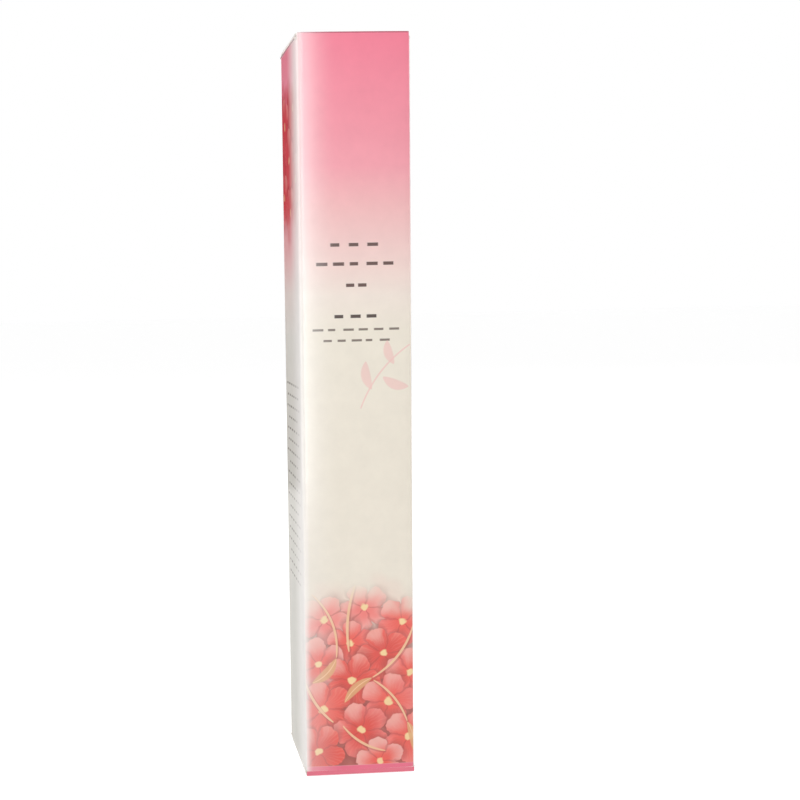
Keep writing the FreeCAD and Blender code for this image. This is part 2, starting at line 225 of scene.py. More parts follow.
# %% [markdown]
# The left wall is seen nearly edge on, where any gloss turns into a mirror. A photographer would
# stand a black flag behind the carton, so that this mirror shows something dark and the red print
# keeps its depth. The flag here is seen by reflections alone. The floor glows a little to the
# camera, which makes it as white as the background, and still takes the carton's shadow.

# %% Flag and floor
FLAG_LEFT, FLAG_RIGHT, FLAG_BACK, FLAG_TOP = -0.075, 0.12, 0.30, 0.42
FLOOR_REACH, FLOOR_GLOW = 3.0, 0.62


def flat_card(name, corners, paint):
    """One four-cornered sheet of the studio, with its paint."""
    mesh = bpy.data.meshes.new(name)
    mesh.from_pydata(corners, [], [(0, 1, 2, 3)])
    mesh.materials.append(paint)
    card = bpy.data.objects.new(name, mesh)
    scene.collection.objects.link(card)
    return card


flag_cloth, tree, shader = new_material("black flag")
set_sockets(shader, Base_Color=(0.05, 0.05, 0.05, 1), Roughness=0.9)
flag = flat_card("flag", [(FLAG_LEFT, FLAG_BACK, 0), (FLAG_RIGHT, FLAG_BACK, 0),
                          (FLAG_RIGHT, FLAG_BACK, FLAG_TOP), (FLAG_LEFT, FLAG_BACK, FLAG_TOP)], flag_cloth)
flag.visible_camera = flag.visible_diffuse = flag.visible_shadow = flag.visible_transmission = False

floor_paint, tree, shader = new_material("white sweep")
set_sockets(shader, Base_Color=(0.86, 0.86, 0.86, 1), Roughness=0.9, Specular_IOR_Level=0.1,
            Emission_Color=(1, 1, 1, 1))
feed(tree, shader.inputs["Emission Strength"], times(tree, seen_directly(tree), FLOOR_GLOW))
floor = flat_card("floor", [(-FLOOR_REACH, -FLOOR_REACH, 0), (FLOOR_REACH, -FLOOR_REACH, 0),
                            (FLOOR_REACH, FLOOR_REACH, 0), (-FLOOR_REACH, FLOOR_REACH, 0)], floor_paint)
print("stage:", flag.name, floor.name)

# %% [markdown]
# The print is ink on white board, so it belongs in the material, not in the mesh.
# The motifs are drawn by formula on the flat walls: a blossom is a five-lobed outline round a
# point, a stroke is a bent line that may taper into a leaf, and a dash row is a line of plain bars.
# Each formula is a node group, so that one drawing can be stamped many times. The groups hold
# plain arithmetic only, because a long chain of stamps has to fit in one material's memory.

# %% Ink helpers
def vector_calc(tree, operation, *inputs, out=0):
    """One step of arithmetic on vectors."""
    return put(tree, "ShaderNodeVectorMath", *inputs, operation=operation).outputs[out]


def ease(tree, value, low, high):
    """0 below low, 1 above high, and a smooth step between them."""
    return put(tree, "ShaderNodeMapRange", value, low, high, 0.0, 1.0,
               interpolation_type="SMOOTHSTEP").outputs[0]


def ease_down(tree, value, low, high):
    """1 below low, 0 above high, and a smooth step between them."""
    return calc(tree, "SUBTRACT", 1.0, ease(tree, value, low, high))


def blend_colour(tree, share, first, second, mode="MIX"):
    """Mix two colours."""
    node = tree.nodes.new("ShaderNodeMix")
    node.data_type, node.blend_type = "RGBA", mode
    feed(tree, node.inputs[0], share)
    feed(tree, node.inputs[6], first)
    feed(tree, node.inputs[7], second)
    return node.outputs[2]


def ink(red, green, blue):
    """A colour written as on a screen, 0 to 255, made linear."""
    def linear(value):
        share = value / 255
        return share / 12.92 if share <= 0.04045 else ((share + 0.055) / 1.055) ** 2.4
    return (linear(red), linear(green), linear(blue), 1.0)


def new_group(name, inputs):
    """A shader group with named inputs and one colour out; returns the group and both ends."""
    group = bpy.data.node_groups.new(name, "ShaderNodeTree")
    for label, kind in inputs:
        group.interface.new_socket(label, in_out="INPUT", socket_type="NodeSocket" + kind)
    group.interface.new_socket("Colour", in_out="OUTPUT", socket_type="NodeSocketColor")
    return group, put(group, "NodeGroupInput").outputs, put(group, "NodeGroupOutput").inputs


print("half grey ink, made linear:", round(ink(128, 128, 128)[0], 3))

# %% Blossom drawing
def blossom_group():
    """A five-petalled blossom in washes of ink, with a soft shadow under it and a pale heart."""
    tree, given, result = new_group("blossom", [
        ("Ground", "Color"), ("Point", "Vector"), ("Middle", "Vector"), ("Size", "Float"),
        ("Turn", "Float"), ("Petal", "Color"), ("Rim", "Color"),
    ])
    petals, vein_count = 5, 35
    notch_depth, notch_roundness = 0.40, 0.55
    light_way = (-0.45, 0.89, 0)
    edge_band, rim_band = (0.95, 1.0), (0.25, 1.05)
    shadow_band, shadow_share, shadow_ink = (0.85, 1.30), 0.55, ink(150, 62, 58)
    fold_band, fold_share, fold_ink = (0.05, 0.42), 0.5, ink(186, 62, 58)
    vein_band, vein_share, vein_ink = (0.1, 1.0), 0.28, ink(246, 150, 136)
    lit_band, lobe_band = (0.15, 0.85), (0.3, 0.9)
    glow_share, glow_ink = 0.62, ink(246, 190, 178)
    heart_band, heart_ink = (0.10, 0.17), ink(249, 216, 160)

    away = vector_calc(tree, "SUBTRACT", given["Point"], given["Middle"])
    reach = calc(tree, "DIVIDE", vector_calc(tree, "LENGTH", away, out=1), given["Size"])
    parts = put(tree, "ShaderNodeSeparateXYZ", away).outputs
    angle = calc(tree, "ADD", calc(tree, "ARCTAN2", parts[1], parts[0]), given["Turn"])
    lobe = calc(tree, "ABSOLUTE", calc(tree, "COSINE", times(tree, angle, petals / 2)))
    rounded = calc(tree, "POWER", lobe, notch_roundness)
    outline = calc(tree, "MULTIPLY_ADD", rounded, notch_depth, 1 - notch_depth)
    share = calc(tree, "DIVIDE", reach, outline)

    shade = times(tree, ease_down(tree, share, *shadow_band), shadow_share)
    ground = blend_colour(tree, shade, given["Ground"], shadow_ink)
    wash = blend_colour(tree, ease(tree, share, *rim_band), given["Petal"], given["Rim"])
    fold = times(tree, ease_down(tree, lobe, *fold_band), fold_share)
    wash = blend_colour(tree, fold, wash, fold_ink)
    streak = calc(tree, "COSINE", times(tree, angle, vein_count))
    vein = times(tree, ease(tree, streak, *vein_band), reach, vein_share)
    wash = blend_colour(tree, vein, wash, vein_ink)
    towards_light = vector_calc(tree, "DOT_PRODUCT", away, light_way, out=1)
    lit = calc(tree, "DIVIDE", towards_light, given["Size"])
    glow = times(tree, ease(tree, lit, *lit_band), ease(tree, lobe, *lobe_band), glow_share)
    wash = blend_colour(tree, glow, wash, glow_ink)
    wash = blend_colour(tree, ease_down(tree, reach, *heart_band), wash, heart_ink)
    feed(tree, result[0], blend_colour(tree, ease_down(tree, share, *edge_band), ground, wash))
    return tree


drawings = {"blossom": blossom_group()}
print("blossom:", len(drawings["blossom"].nodes), "nodes")

# %% Stroke drawing
def stroke_group():
    """A bent line between two points. Taper 0 keeps its width, and 1 draws it out into a leaf."""
    tree, given, result = new_group("stroke", [
        ("Ground", "Color"), ("Point", "Vector"), ("Start", "Vector"), ("End", "Vector"),
        ("Bend", "Float"), ("Width", "Float"), ("Taper", "Float"), ("Ink", "Color"), ("Strength", "Float"),
    ])
    least = 0.001
    edge_band, start_band, end_band = (0.75, 1.1), (0.0, 0.02), (0.98, 1.0)
    flat = vector_calc(tree, "SUBTRACT", given["Point"], given["Start"])
    way = vector_calc(tree, "SUBTRACT", given["End"], given["Start"])
    length = vector_calc(tree, "LENGTH", way, out=1)
    onward = vector_calc(tree, "DOT_PRODUCT", flat, way, out=1)
    along = calc(tree, "DIVIDE", onward, times(tree, length, length))
    cross = put(tree, "ShaderNodeSeparateXYZ", vector_calc(tree, "CROSS_PRODUCT", way, flat)).outputs[2]
    aside = calc(tree, "DIVIDE", cross, length)
    hump = times(tree, along, calc(tree, "SUBTRACT", 1.0, along), 4.0)
    off = calc(tree, "ABSOLUTE", calc(tree, "SUBTRACT", aside, times(tree, hump, given["Bend"])))
    taper = calc(tree, "MAXIMUM", given["Taper"], least)
    body = calc(tree, "POWER", calc(tree, "MAXIMUM", hump, 0.0), taper)
    width = calc(tree, "MAXIMUM", times(tree, given["Width"], body), least)
    mark = ease_down(tree, calc(tree, "DIVIDE", off, width), *edge_band)
    ends = times(tree, ease(tree, along, *start_band), ease_down(tree, along, *end_band))
    share = times(tree, mark, ends, given["Strength"])
    feed(tree, result[0], blend_colour(tree, share, given["Ground"], given["Ink"]))
    return tree


drawings["stroke"] = stroke_group()
print("stroke:", len(drawings["stroke"].nodes), "nodes")

# %% Dash row drawing
def dash_row_group():
    """A centred row of plain dashes of uneven length, with whole dashes only."""
    tree, given, result = new_group("dash row", [
        ("Ground", "Color"), ("Point", "Vector"), ("Middle", "Vector"), ("Length", "Float"),
        ("Height", "Float"), ("Cell", "Float"), ("Ink", "Color"),
    ])
    shortest_share, uneven_share = 0.55, 0.30
    start_band, end_band, bar_band = (0.02, 0.10), (0.92, 1.0), (0.85, 1.05)
    cell_mix, row_mix, spread_mix = 12.99, 78.23, 437.58

    offset = vector_calc(tree, "SUBTRACT", given["Point"], given["Middle"])
    away = put(tree, "ShaderNodeSeparateXYZ", offset).outputs
    half_length = calc(tree, "DIVIDE", given["Length"], 2.0)
    inside = calc(tree, "LESS_THAN", calc(tree, "ABSOLUTE", away[0]), half_length)
    count = calc(tree, "ROUND", calc(tree, "DIVIDE", given["Length"], given["Cell"]))
    progress = calc(tree, "ADD", calc(tree, "DIVIDE", away[0], given["Length"]), 0.5)
    cells = times(tree, progress, count)
    cell = calc(tree, "FLOOR", cells)
    row = put(tree, "ShaderNodeSeparateXYZ", given["Middle"]).outputs[1]
    mixed = calc(tree, "SINE", calc(tree, "MULTIPLY_ADD", cell, cell_mix, times(tree, row, row_mix)))
    random = calc(tree, "FRACT", times(tree, mixed, spread_mix))
    within = calc(tree, "SUBTRACT", cells, cell)
    filled = calc(tree, "MULTIPLY_ADD", random, uneven_share, shortest_share)
    dash_end = ease_down(tree, calc(tree, "DIVIDE", within, filled), *end_band)
    half_height = calc(tree, "DIVIDE", given["Height"], 2.0)
    level = calc(tree, "DIVIDE", calc(tree, "ABSOLUTE", away[1]), half_height)
    bar = ease_down(tree, level, *bar_band)
    share = times(tree, ease(tree, within, *start_band), dash_end, bar, inside)
    feed(tree, result[0], blend_colour(tree, share, given["Ground"], given["Ink"]))
    return tree


drawings["dash row"] = dash_row_group()


def stamp(tree, drawing, ground, *inputs):
    """Lay one drawing over a ground colour."""
    node = tree.nodes.new("ShaderNodeGroup")
    node.node_tree = drawings[drawing]
    for socket, value in zip(node.inputs, (ground, *inputs)):
        feed(tree, socket, value)
    return node.outputs[0]


print("dash row:", len(drawings["dash row"].nodes), "nodes")

# %% [markdown]
# The carton is clay-coated board, printed and then laminated with a clear gloss film.
# One shader serves every printed side: ink below, the film as a coat above it, and a little
# relief from the fibres and from the board's slow waves. Where the board is folded, the film
# and the ink crack, so a fine pale line runs along each fold. Only the ink differs from side to side.

# %% Relief helpers
# Most of a noise lies in this span
NOISE_SPAN = (0.3, 0.7)


def point_in_mm(tree):
    """The place on the piece in millimetres, in the object's own frame."""
    place = put(tree, "ShaderNodeTexCoord").outputs["Object"]
    return vector_calc(tree, "SCALE", place, 1 / MM)


def noise(tree, place, scale, detail=2.0, roughness=0.5):
    """Soft random relief, 0 to 1, with one scale for all axes or one for each."""
    if isinstance(scale, tuple):
        place, scale = vector_calc(tree, "MULTIPLY", place, scale), 1.0
    node = put(tree, "ShaderNodeTexNoise", noise_dimensions="3D")
    feed(tree, node.inputs["Vector"], place)
    node.inputs["Scale"].default_value = scale
    node.inputs["Detail"].default_value = detail
    node.inputs["Roughness"].default_value = roughness
    return node.outputs[0]


def raise_surface(tree, shader, height_mm, strength):
    """Let the light see a relief, given by its height in millimetres."""
    bump = put(tree, "ShaderNodeBump")
    bump.inputs["Strength"].default_value = strength
    bump.inputs["Distance"].default_value = MM
    feed(tree, bump.inputs["Height"], height_mm)
    feed(tree, shader.inputs["Normal"], bump.outputs[0])


print("relief helpers:", [helper.__name__ for helper in (point_in_mm, noise, raise_surface)])

# %% Printed board
# The first white is the colour of the painted sheen at a fold; the second is the white of cracked ink
SHEEN_PAINT_WHITE, WORN_WHITE = ink(250, 246, 243), ink(248, 240, 236)
WORN_FROM, WORN_TO = 0.42, 0.18
CRACK_SCALE, CRACK_BAND, CRACK_DEPTH = (3.0, 3.0, 0.9), (0.30, 0.62), 0.02
MOTTLE_SCALE, MOTTLE_TONES = 0.35, (0.975, 1.02)
SMEAR_SCALE, SMEAR_ROUGHNESS = 0.12, (0.36, 0.48)
FILM_ROUGHNESS, FILM_IOR = 0.16, 1.5
FIBRE_SCALE, FIBRE_HEIGHT = (7.0, 7.0, 3.0), 0.012
WAVE_SCALE, WAVE_HEIGHT = 0.09, 0.25
BOARD_BUMP = 0.35


def paint_fold_sheen(tree, colour, across, reach, share):
    """Paint a pale sheen into the ink towards the fold on the low side, over a reach and by a share at the
    fold.
    """
    near = ease_down(tree, across, -HALF, reach - HALF)
    return blend_colour(tree, times(tree, near, share), colour, SHEEN_PAINT_WHITE)


def finish_board(tree, shader, point, colour, across, gloss=1.0, ink_shine=0.25, wear=0.75):
    """Give printed board its worn folds, gloss film and relief. Across is the distance from the middle."""
    cracks = noise(tree, point, CRACK_SCALE, 3.0)
    fold = ease(tree, calc(tree, "ABSOLUTE", across), HALF - WORN_FROM, HALF - WORN_TO)
    worn = times(tree, fold, ease(tree, cracks, *CRACK_BAND))
    colour = blend_colour(tree, times(tree, worn, wear), colour, WORN_WHITE)
    tone = scaled(tree, noise(tree, point, MOTTLE_SCALE, 4.0, 0.6), *NOISE_SPAN, *MOTTLE_TONES)
    mottle = put(tree, "ShaderNodeCombineXYZ", tone, tone, tone).outputs[0]
    feed(tree, shader.inputs["Base Color"], blend_colour(tree, 1.0, colour, mottle, "MULTIPLY"))
    smear = noise(tree, point, SMEAR_SCALE, 3.0)
    feed(tree, shader.inputs["Roughness"], scaled(tree, smear, *NOISE_SPAN, *SMEAR_ROUGHNESS))
    set_sockets(shader, Specular_IOR_Level=ink_shine, Coat_Weight=gloss,
                Coat_Roughness=FILM_ROUGHNESS, Coat_IOR=FILM_IOR)
    fibres = noise(tree, point, FIBRE_SCALE, 3.0, 0.6)
    waves = noise(tree, point, WAVE_SCALE, 1.0)
    relief = calc(tree, "MULTIPLY_ADD", fibres, FIBRE_HEIGHT, times(tree, waves, WAVE_HEIGHT))
    relief = calc(tree, "MULTIPLY_ADD", worn, -CRACK_DEPTH, relief)
    raise_surface(tree, shader, relief, BOARD_BUMP)


print(f"gloss film: roughness {FILM_ROUGHNESS}, fibres {FIBRE_HEIGHT} mm high")

# %% [markdown]
# The front's ground runs from pink at the top to cream, with a pink band at the foot and a dark
# maroon line along the top edge. A colour ramp over the height gives it. Each wall is flat, so its
# drawings use only two numbers, the place across and the height.

# %% Ground of the print
# Ground of the front and back: height, ink
GROUND_INKS = [
    (0, (236, 228, 213)), (80, (236, 228, 213)), (86, (239, 226, 215)), (91, (240, 213, 206)),
    (96, (239, 199, 196)), (101.4, (240, 184, 185)), (108.5, (242, 159, 171)),
    (114, (241, 149, 164)), (131, (242, 125, 149)),
]
FOOT_PINK, TOP_EDGE_MAROON = ink(236, 116, 143), ink(120, 40, 55)
FOOT_BAND = (1.7, 1.9)
TOP_EDGE_LOW, TOP_EDGE_HIGH, TOP_EDGE_SHARE = 0.28, 0.16, 0.6
TOP_EDGE_BAND = (CARTON_TOP - TOP_EDGE_LOW, CARTON_TOP - TOP_EDGE_HIGH)
RIPPLE_SCALE, RIPPLE = 0.55, 1.3


def ramp(tree, value, stops):
    """Colour along a scale: stops are (place, colour)."""
    node = tree.nodes.new("ShaderNodeValToRGB")
    elements = node.color_ramp.elements
    while len(elements) < len(stops):
        elements.new(0.5)
    for element, (place, colour) in zip(elements, stops):
        element.position, element.color = place, colour
    feed(tree, node.inputs[0], value)
    return node.outputs[0]


def ground_ink(tree, height):
    """The ground of the front: pink at the top, fading to cream, with a pink band at the foot."""
    share = calc(tree, "DIVIDE", height, CARTON_TOP)
    ground = ramp(tree, share, [(mm / CARTON_TOP, ink(*rgb)) for mm, rgb in GROUND_INKS])
    ground = blend_colour(tree, ease_down(tree, height, *FOOT_BAND), ground, FOOT_PINK)
    # A dark maroon line runs along the top edge
    return blend_colour(tree, times(tree, ease(tree, height, *TOP_EDGE_BAND), TOP_EDGE_SHARE), ground, TOP_EDGE_MAROON)


def flat_place(tree, point, across_axis):
    """Places on one wall as (across, up, 0), with the across and the height alone."""
    parts = put(tree, "ShaderNodeSeparateXYZ", point).outputs
    across, height = parts[across_axis], parts[2]
    return put(tree, "ShaderNodeCombineXYZ", across, height, 0.0).outputs[0], across, height


def flat_point(across, height):
    """A fixed place on a wall, in the same form."""
    return (across, height, 0.0)


def rippled(tree, place):
    """The same places, shifted a little by a soft noise, so that drawn edges waver like wet ink."""
    warp = put(tree, "ShaderNodeTexNoise", noise_dimensions="3D")
    feed(tree, warp.inputs["Vector"], place)
    warp.inputs["Scale"].default_value = RIPPLE_SCALE
    shift = vector_calc(tree, "SUBTRACT", warp.outputs["Color"], (0.5, 0.5, 0.5))
    shift = vector_calc(tree, "MULTIPLY", shift, (RIPPLE, RIPPLE, 0))
    return vector_calc(tree, "ADD", place, shift)


print("ground:", len(GROUND_INKS), "inks over", round(CARTON_TOP), "mm")

# %% [markdown]
# The front carries the picture: coral blossoms heaped in the lower quarter, their pale stems laid
# across them, and a wash that lets the heap fade into the cream above it. The blossoms are stamped
# from the back of the heap to the front, as a painter would lay them.

# %% Blossoms, stems and leaves of the heap
CORAL, SCARLET, ROSE, BLUSH = ink(236, 98, 86), ink(222, 78, 68), ink(240, 128, 122), ink(242, 176, 168)
STEM, LEAF, GAP = ink(245, 200, 158), ink(226, 174, 122), ink(176, 84, 74)

# Blossoms: across, up, radius, turn, petal ink, rim ink
heap = [
    (1.0, 30.6, 4.6, 0.5, ROSE, BLUSH), (-6.4, 28.8, 4.6, 1.4, ROSE, BLUSH),
    (7.8, 28.0, 4.8, 0.2, CORAL, ROSE), (-1.6, 24.2, 4.4, 1.0, CORAL, ROSE),
    (4.4, 22.2, 4.9, 1.8, SCARLET, CORAL), (-7.4, 20.6, 5.0, 0.8, CORAL, BLUSH),
    (9.2, 18.4, 4.8, 2.2, CORAL, ROSE), (-1.4, 17.4, 5.2, 0.1, SCARLET, CORAL),
    (5.2, 13.4, 5.3, 1.2, CORAL, ROSE), (-6.6, 12.2, 5.4, 1.9, CORAL, CORAL),
    (0.2, 8.2, 5.3, 0.6, SCARLET, ROSE), (8.8, 6.6, 5.2, 1.5, CORAL, ROSE),
    (-7.6, 4.6, 5.0, 0.3, SCARLET, CORAL), (3.6, 2.4, 4.6, 2.0, CORAL, BLUSH),
]
# Stems and leaves: start, end, bend, half width
stems = [
    ((-8.6, 33.5), (-4.2, 21.6), 1.6, 0.22), ((-0.6, 35.0), (-1.9, 22.6), -0.8, 0.26),
    ((9.9, 27.5), (2.2, 17.8), 1.3, 0.24), ((2.4, 17.4), (8.6, 9.4), 0.9, 0.22),
    ((-9.8, 17.4), (-4.8, 9.8), -0.7, 0.26), ((-3.2, 9.2), (4.6, 4.2), -0.9, 0.24),
]
leaves = [
    ((-4.2, 21.6), (-8.6, 17.2), 0.7, 0.95), ((2.2, 17.8), (-2.8, 13.4), -0.6, 0.85),
    ((8.6, 9.4), (9.9, 3.6), 0.4, 0.8),
]
print("heap:", len(heap), "blossoms,", len(stems), "stems,", len(leaves), "leaves")

# %% Drawing of the heap
SHADOW_RIGHT, SHADOW_DOWN, SHADOW_WIDTH = 0.15, 0.25, 1.5
STEM_TAPER, LEAF_TAPER, LEAF_VEIN = 0.3, 0.8, 0.12
SHADOW_SHARE, STEM_SHARE, LEAF_SHARE, VEIN_SHARE = 0.45, 0.92, 0.85, 0.9
CROWN_ROUND, CROWN_DRIFT, CROWN_SCALE = -0.035, 9.0, 0.16
GAP_BAND, GAP_SHARE, HAZE_SHARE = (14.0, 25.5), 0.9, 0.35
HEAP_FOOT, HEAP_FADE = (1.75, 1.85), (25.0, 33.5)


def draw_stem(tree, colour, place, start, end, bend, wide):
    """A pale stem over its own soft shadow."""
    below = [flat_point(across + SHADOW_RIGHT, height - SHADOW_DOWN) for across, height in (start, end)]
    colour = stamp(tree, "stroke", colour, place, *below, bend, wide * SHADOW_WIDTH, STEM_TAPER, GAP,
                   SHADOW_SHARE)
    return stamp(tree, "stroke", colour, place, flat_point(*start), flat_point(*end), bend, wide,
                 STEM_TAPER, STEM, STEM_SHARE)


def draw_leaf(tree, colour, place, start, end, bend, wide):
    """A leaf with its middle vein."""
    ends = flat_point(*start), flat_point(*end)
    colour = stamp(tree, "stroke", colour, place, *ends, bend, wide, LEAF_TAPER, LEAF, LEAF_SHARE)
    return stamp(tree, "stroke", colour, place, *ends, bend, wide * LEAF_VEIN, STEM_TAPER, STEM, VEIN_SHARE)


def draw_heap(tree, ground, place, across, height):
    """The heap of blossoms. Its upper edge wanders, and the gaps are deeper in tone lower down."""
    crown = times(tree, across, across, CROWN_ROUND)
    drift = calc(tree, "MULTIPLY_ADD", noise(tree, place, CROWN_SCALE), CROWN_DRIFT, crown)
    level = calc(tree, "SUBTRACT", height, drift)
    depth = times(tree, ease_down(tree, level, *GAP_BAND), GAP_SHARE)
    colour = blend_colour(tree, depth, blend_colour(tree, HAZE_SHARE, ground, BLUSH), GAP)
    wet_place = rippled(tree, place)
    for over, high, *look in heap:
        colour = stamp(tree, "blossom", colour, wet_place, flat_point(over, high), *look)
    for stem in stems:
        colour = draw_stem(tree, colour, place, *stem)
    for leaf in leaves:
        colour = draw_leaf(tree, colour, place, *leaf)
    below_fade = ease_down(tree, level, *HEAP_FADE)
    above_foot = ease(tree, height, *HEAP_FOOT)
    return blend_colour(tree, times(tree, below_fade, above_foot), ground, colour)


print(f"heap fades out over {HEAP_FADE[1] - HEAP_FADE[0]} mm")

# %% Front print
DASH_DEEP, DASH_DARK = ink(74, 60, 54), ink(96, 72, 66)
DASH_SOFT, DASH_FAINT = ink(128, 116, 106), ink(160, 154, 146)
SPRAY_PINK, SPRAY_SHARE = ink(238, 196, 190), 0.7
# Painted highlight and painted sheen by the left fold: reach in mm, share at the fold
FRONT_PAINTED_SHEEN = ((1.5, 0.8), (7.0, 0.25))
BOLD_BAR, FINE_BAR, FAINT_BAR = 0.62, 0.42, 0.40
ROW_MIDDLE = 0.25

# Dash rows: across, height, length, bar height, cell, ink
front_rows = [
    (ROW_MIDDLE, 94.9, 9.7, BOLD_BAR, 3.3, DASH_DARK), (ROW_MIDDLE, 91.6, 14.7, BOLD_BAR, 3.0, DASH_DARK),
    (ROW_MIDDLE, 87.9, 4.2, BOLD_BAR, 2.2, DASH_DARK), (ROW_MIDDLE, 82.5, 8.5, BOLD_BAR, 2.9, DASH_DEEP),
    (ROW_MIDDLE, 80.2, 16.2, FINE_BAR, 2.7, DASH_SOFT), (ROW_MIDDLE, 78.3, 12.4, FINE_BAR, 2.5, DASH_SOFT),
]
# A faint spray below the dashes: start, end, bend, half width, taper
spray = [
    ((0.6, 66.2), (9.6, 77.5), 1.2, 0.16, 0.05), ((2.6, 69.6), (1.6, 74.6), 0.5, 0.9, 0.8),
    ((4.6, 71.8), (9.2, 70.0), -0.5, 0.95, 0.8), ((6.6, 74.0), (5.4, 78.2), 0.4, 0.85, 0.8),
]


def draw_rows(tree, colour, place, rows):
    """Rows of dashes."""
    for over, high, *look in rows:
        colour = stamp(tree, "dash row", colour, place, flat_point(over, high), *look)
    return colour


front_print, tree, shader = new_material("front print")
point = point_in_mm(tree)
place, across, height = flat_place(tree, point, 0)
colour = draw_heap(tree, ground_ink(tree, height), place, across, height)
colour = draw_rows(tree, colour, place, front_rows)
for start, end, bend, wide, taper in spray:
    colour = stamp(tree, "stroke", colour, place, flat_point(*start), flat_point(*end), bend, wide, taper,
                   SPRAY_PINK, SPRAY_SHARE)
# A painted highlight along the left fold and a wider painted sheen beside it pale the ink
for reach, share in FRONT_PAINTED_SHEEN:
    colour = paint_fold_sheen(tree, colour, across, reach, share)
finish_board(tree, shader, point, colour, across, gloss=0.7, ink_shine=0.2)
print("front print:", len(tree.nodes), "nodes")

# %% [markdown]
# The side walls repeat the theme in a deeper red near the top. Lower down they are plain, with
# rows of fine dashes on a ground painted darker low down as shade, and a painted sheen pales their
# ink towards the front fold. The back is the quiet side: the front's ground and a block of dashes.
# The two sides are mirrored twins, so one function makes both.

# %% Motifs of the sides and the back
# Ground of a side by share of height: print, painted darker low down as shade
SIDE_GROUND_AND_SHADE = [
    (0.0, ink(212, 209, 201)), (0.30, ink(214, 211, 203)), (0.60, ink(230, 225, 218)),
    (0.66, ink(236, 220, 214)), (0.72, ink(238, 180, 182)), (0.94, ink(240, 144, 162)),
    (1.0, ink(244, 138, 158)),
]
CRIMSON, CRIMSON_PETAL, CRIMSON_RIM = ink(206, 48, 62), ink(218, 54, 64), ink(224, 78, 86)
CRIMSON_WASH, WASH_SHARE = ink(204, 40, 54), 0.5
# Blossoms of a side: across, up, radius, turn
side_blossoms = [
    (-5.5, 119.0, 5.2, 0.4), (5.0, 117.0, 5.4, 1.2), (0.0, 110.5, 5.6, 0.9),
    (-7.5, 106.5, 4.8, 2.0), (7.0, 104.0, 5.2, 0.2), (-1.0, 101.0, 5.0, 1.6),
]


def row_block(count, top, pitch, lengths, *look):
    """Rows of dashes one under the other, whose lengths repeat."""
    return [(0.0, top - pitch * row, lengths[row % len(lengths)], *look) for row in range(count)]


side_rows = row_block(18, 70.0, 2.1, (15.5, 14.2, 16.0, 11.0), FAINT_BAR, 2.4, DASH_FAINT)
back_rows = (row_block(4, 92.0, 3.0, (13.0, 15.0, 11.0, 6.0), BOLD_BAR, 3.1, DASH_DARK)
             + row_block(16, 72.0, 2.2, (16.0, 15.2, 16.2, 14.6), FAINT_BAR, 2.6, DASH_FAINT))
print("rows of dashes:", len(side_rows), "on a side and", len(back_rows), "on the back")

# %% Side and back prints
BLOCK_FOOT, BLOCK_TOP, BLOCK_SHARE = (98.0, 107.0), (124.5, 129.5), 0.92
BLOCK_SCALE, BLOCK_DRIFT = 0.18, 8.0
# Painted sheen towards the front fold: reach in mm, share at the fold
SIDE_PAINTED_SHEEN = (12.0, 0.8)


def side_print(name, mirror):
    """A side wall: crimson blossoms high up on a warm grey ground with painted shade low down, dashes lower
    down, and painted sheen by the front fold.
    """
    material, tree, shader = new_material(name)
    point = point_in_mm(tree)
    place, across, height = flat_place(tree, point, 1)
    ground = ramp(tree, calc(tree, "DIVIDE", height, CARTON_TOP), SIDE_GROUND_AND_SHADE)
    wet_place = rippled(tree, place)
    colour = CRIMSON
    for over, high, radius, turn in side_blossoms:
        colour = stamp(tree, "blossom", colour, wet_place, flat_point(over * mirror, high), radius, turn,
                       CRIMSON_PETAL, CRIMSON_RIM)
    colour = blend_colour(tree, WASH_SHARE, colour, CRIMSON_WASH)
    drift = calc(tree, "MULTIPLY_ADD", noise(tree, place, BLOCK_SCALE), BLOCK_DRIFT, height)
    block = times(tree, ease(tree, drift, *BLOCK_FOOT), ease_down(tree, drift, *BLOCK_TOP), BLOCK_SHARE)
    colour = draw_rows(tree, blend_colour(tree, block, ground, colour), place, side_rows)
    # A painted sheen pales the ink towards the front fold
    colour = paint_fold_sheen(tree, colour, across, *SIDE_PAINTED_SHEEN)
    finish_board(tree, shader, point, colour, across, gloss=0.3, ink_shine=0.0)
    return material


def back_print():
    """The back wall: the front's ground with a block of dashes."""
    material, tree, shader = new_material("back print")
    point = point_in_mm(tree)
    place, across, height = flat_place(tree, point, 0)
    colour = draw_rows(tree, ground_ink(tree, height), place, back_rows)
    finish_board(tree, shader, point, colour, across)
    return material


left_wall_print, right_wall_print = side_print("left print", 1), side_print("right print", -1)
back_wall_print = back_print()
print("wall prints:", [m.name for m in (front_print, left_wall_print, right_wall_print, back_wall_print)])

# %% [markdown]
# The flaps are printed in one pink outside and left as bare board inside. They bend at their
# creases, and Object coordinates would slide over a bent mesh, so the print reads each point's
# place on the sheet at rest, which the mesh carries as an attribute. Bare board is warm pulp with
# grey fibres and specks, and its cut edge is a little whiter.

# %% Flap print and bare board
FLAP_LOW, FLAP_HIGH, FLAP_CLOUD = ink(230, 110, 134), ink(243, 128, 151), ink(250, 160, 178)
CLOUD_SCALE, CLOUD_SHARE = 0.06, 0.12
PULP_SCALE, PULP_BAND, PULP_ROUGHNESS = (3.2, 3.2, 1.28), (0.35, 0.7), (0.78, 0.92)
PULP_HEIGHT, PULP_BUMP = 0.03, 0.4
SPECK_SCALE, SPECK_BAND, SPECK_SHARE, SPECK_GREY = 3.1, (0.66, 0.74), 0.25, ink(176, 168, 158)
END_REACH = 20.0
STRIP_FROM, STRIP_TO = 0.20, 0.14
WALL_STRIP = (HALF - STRIP_FROM, HALF - STRIP_TO)


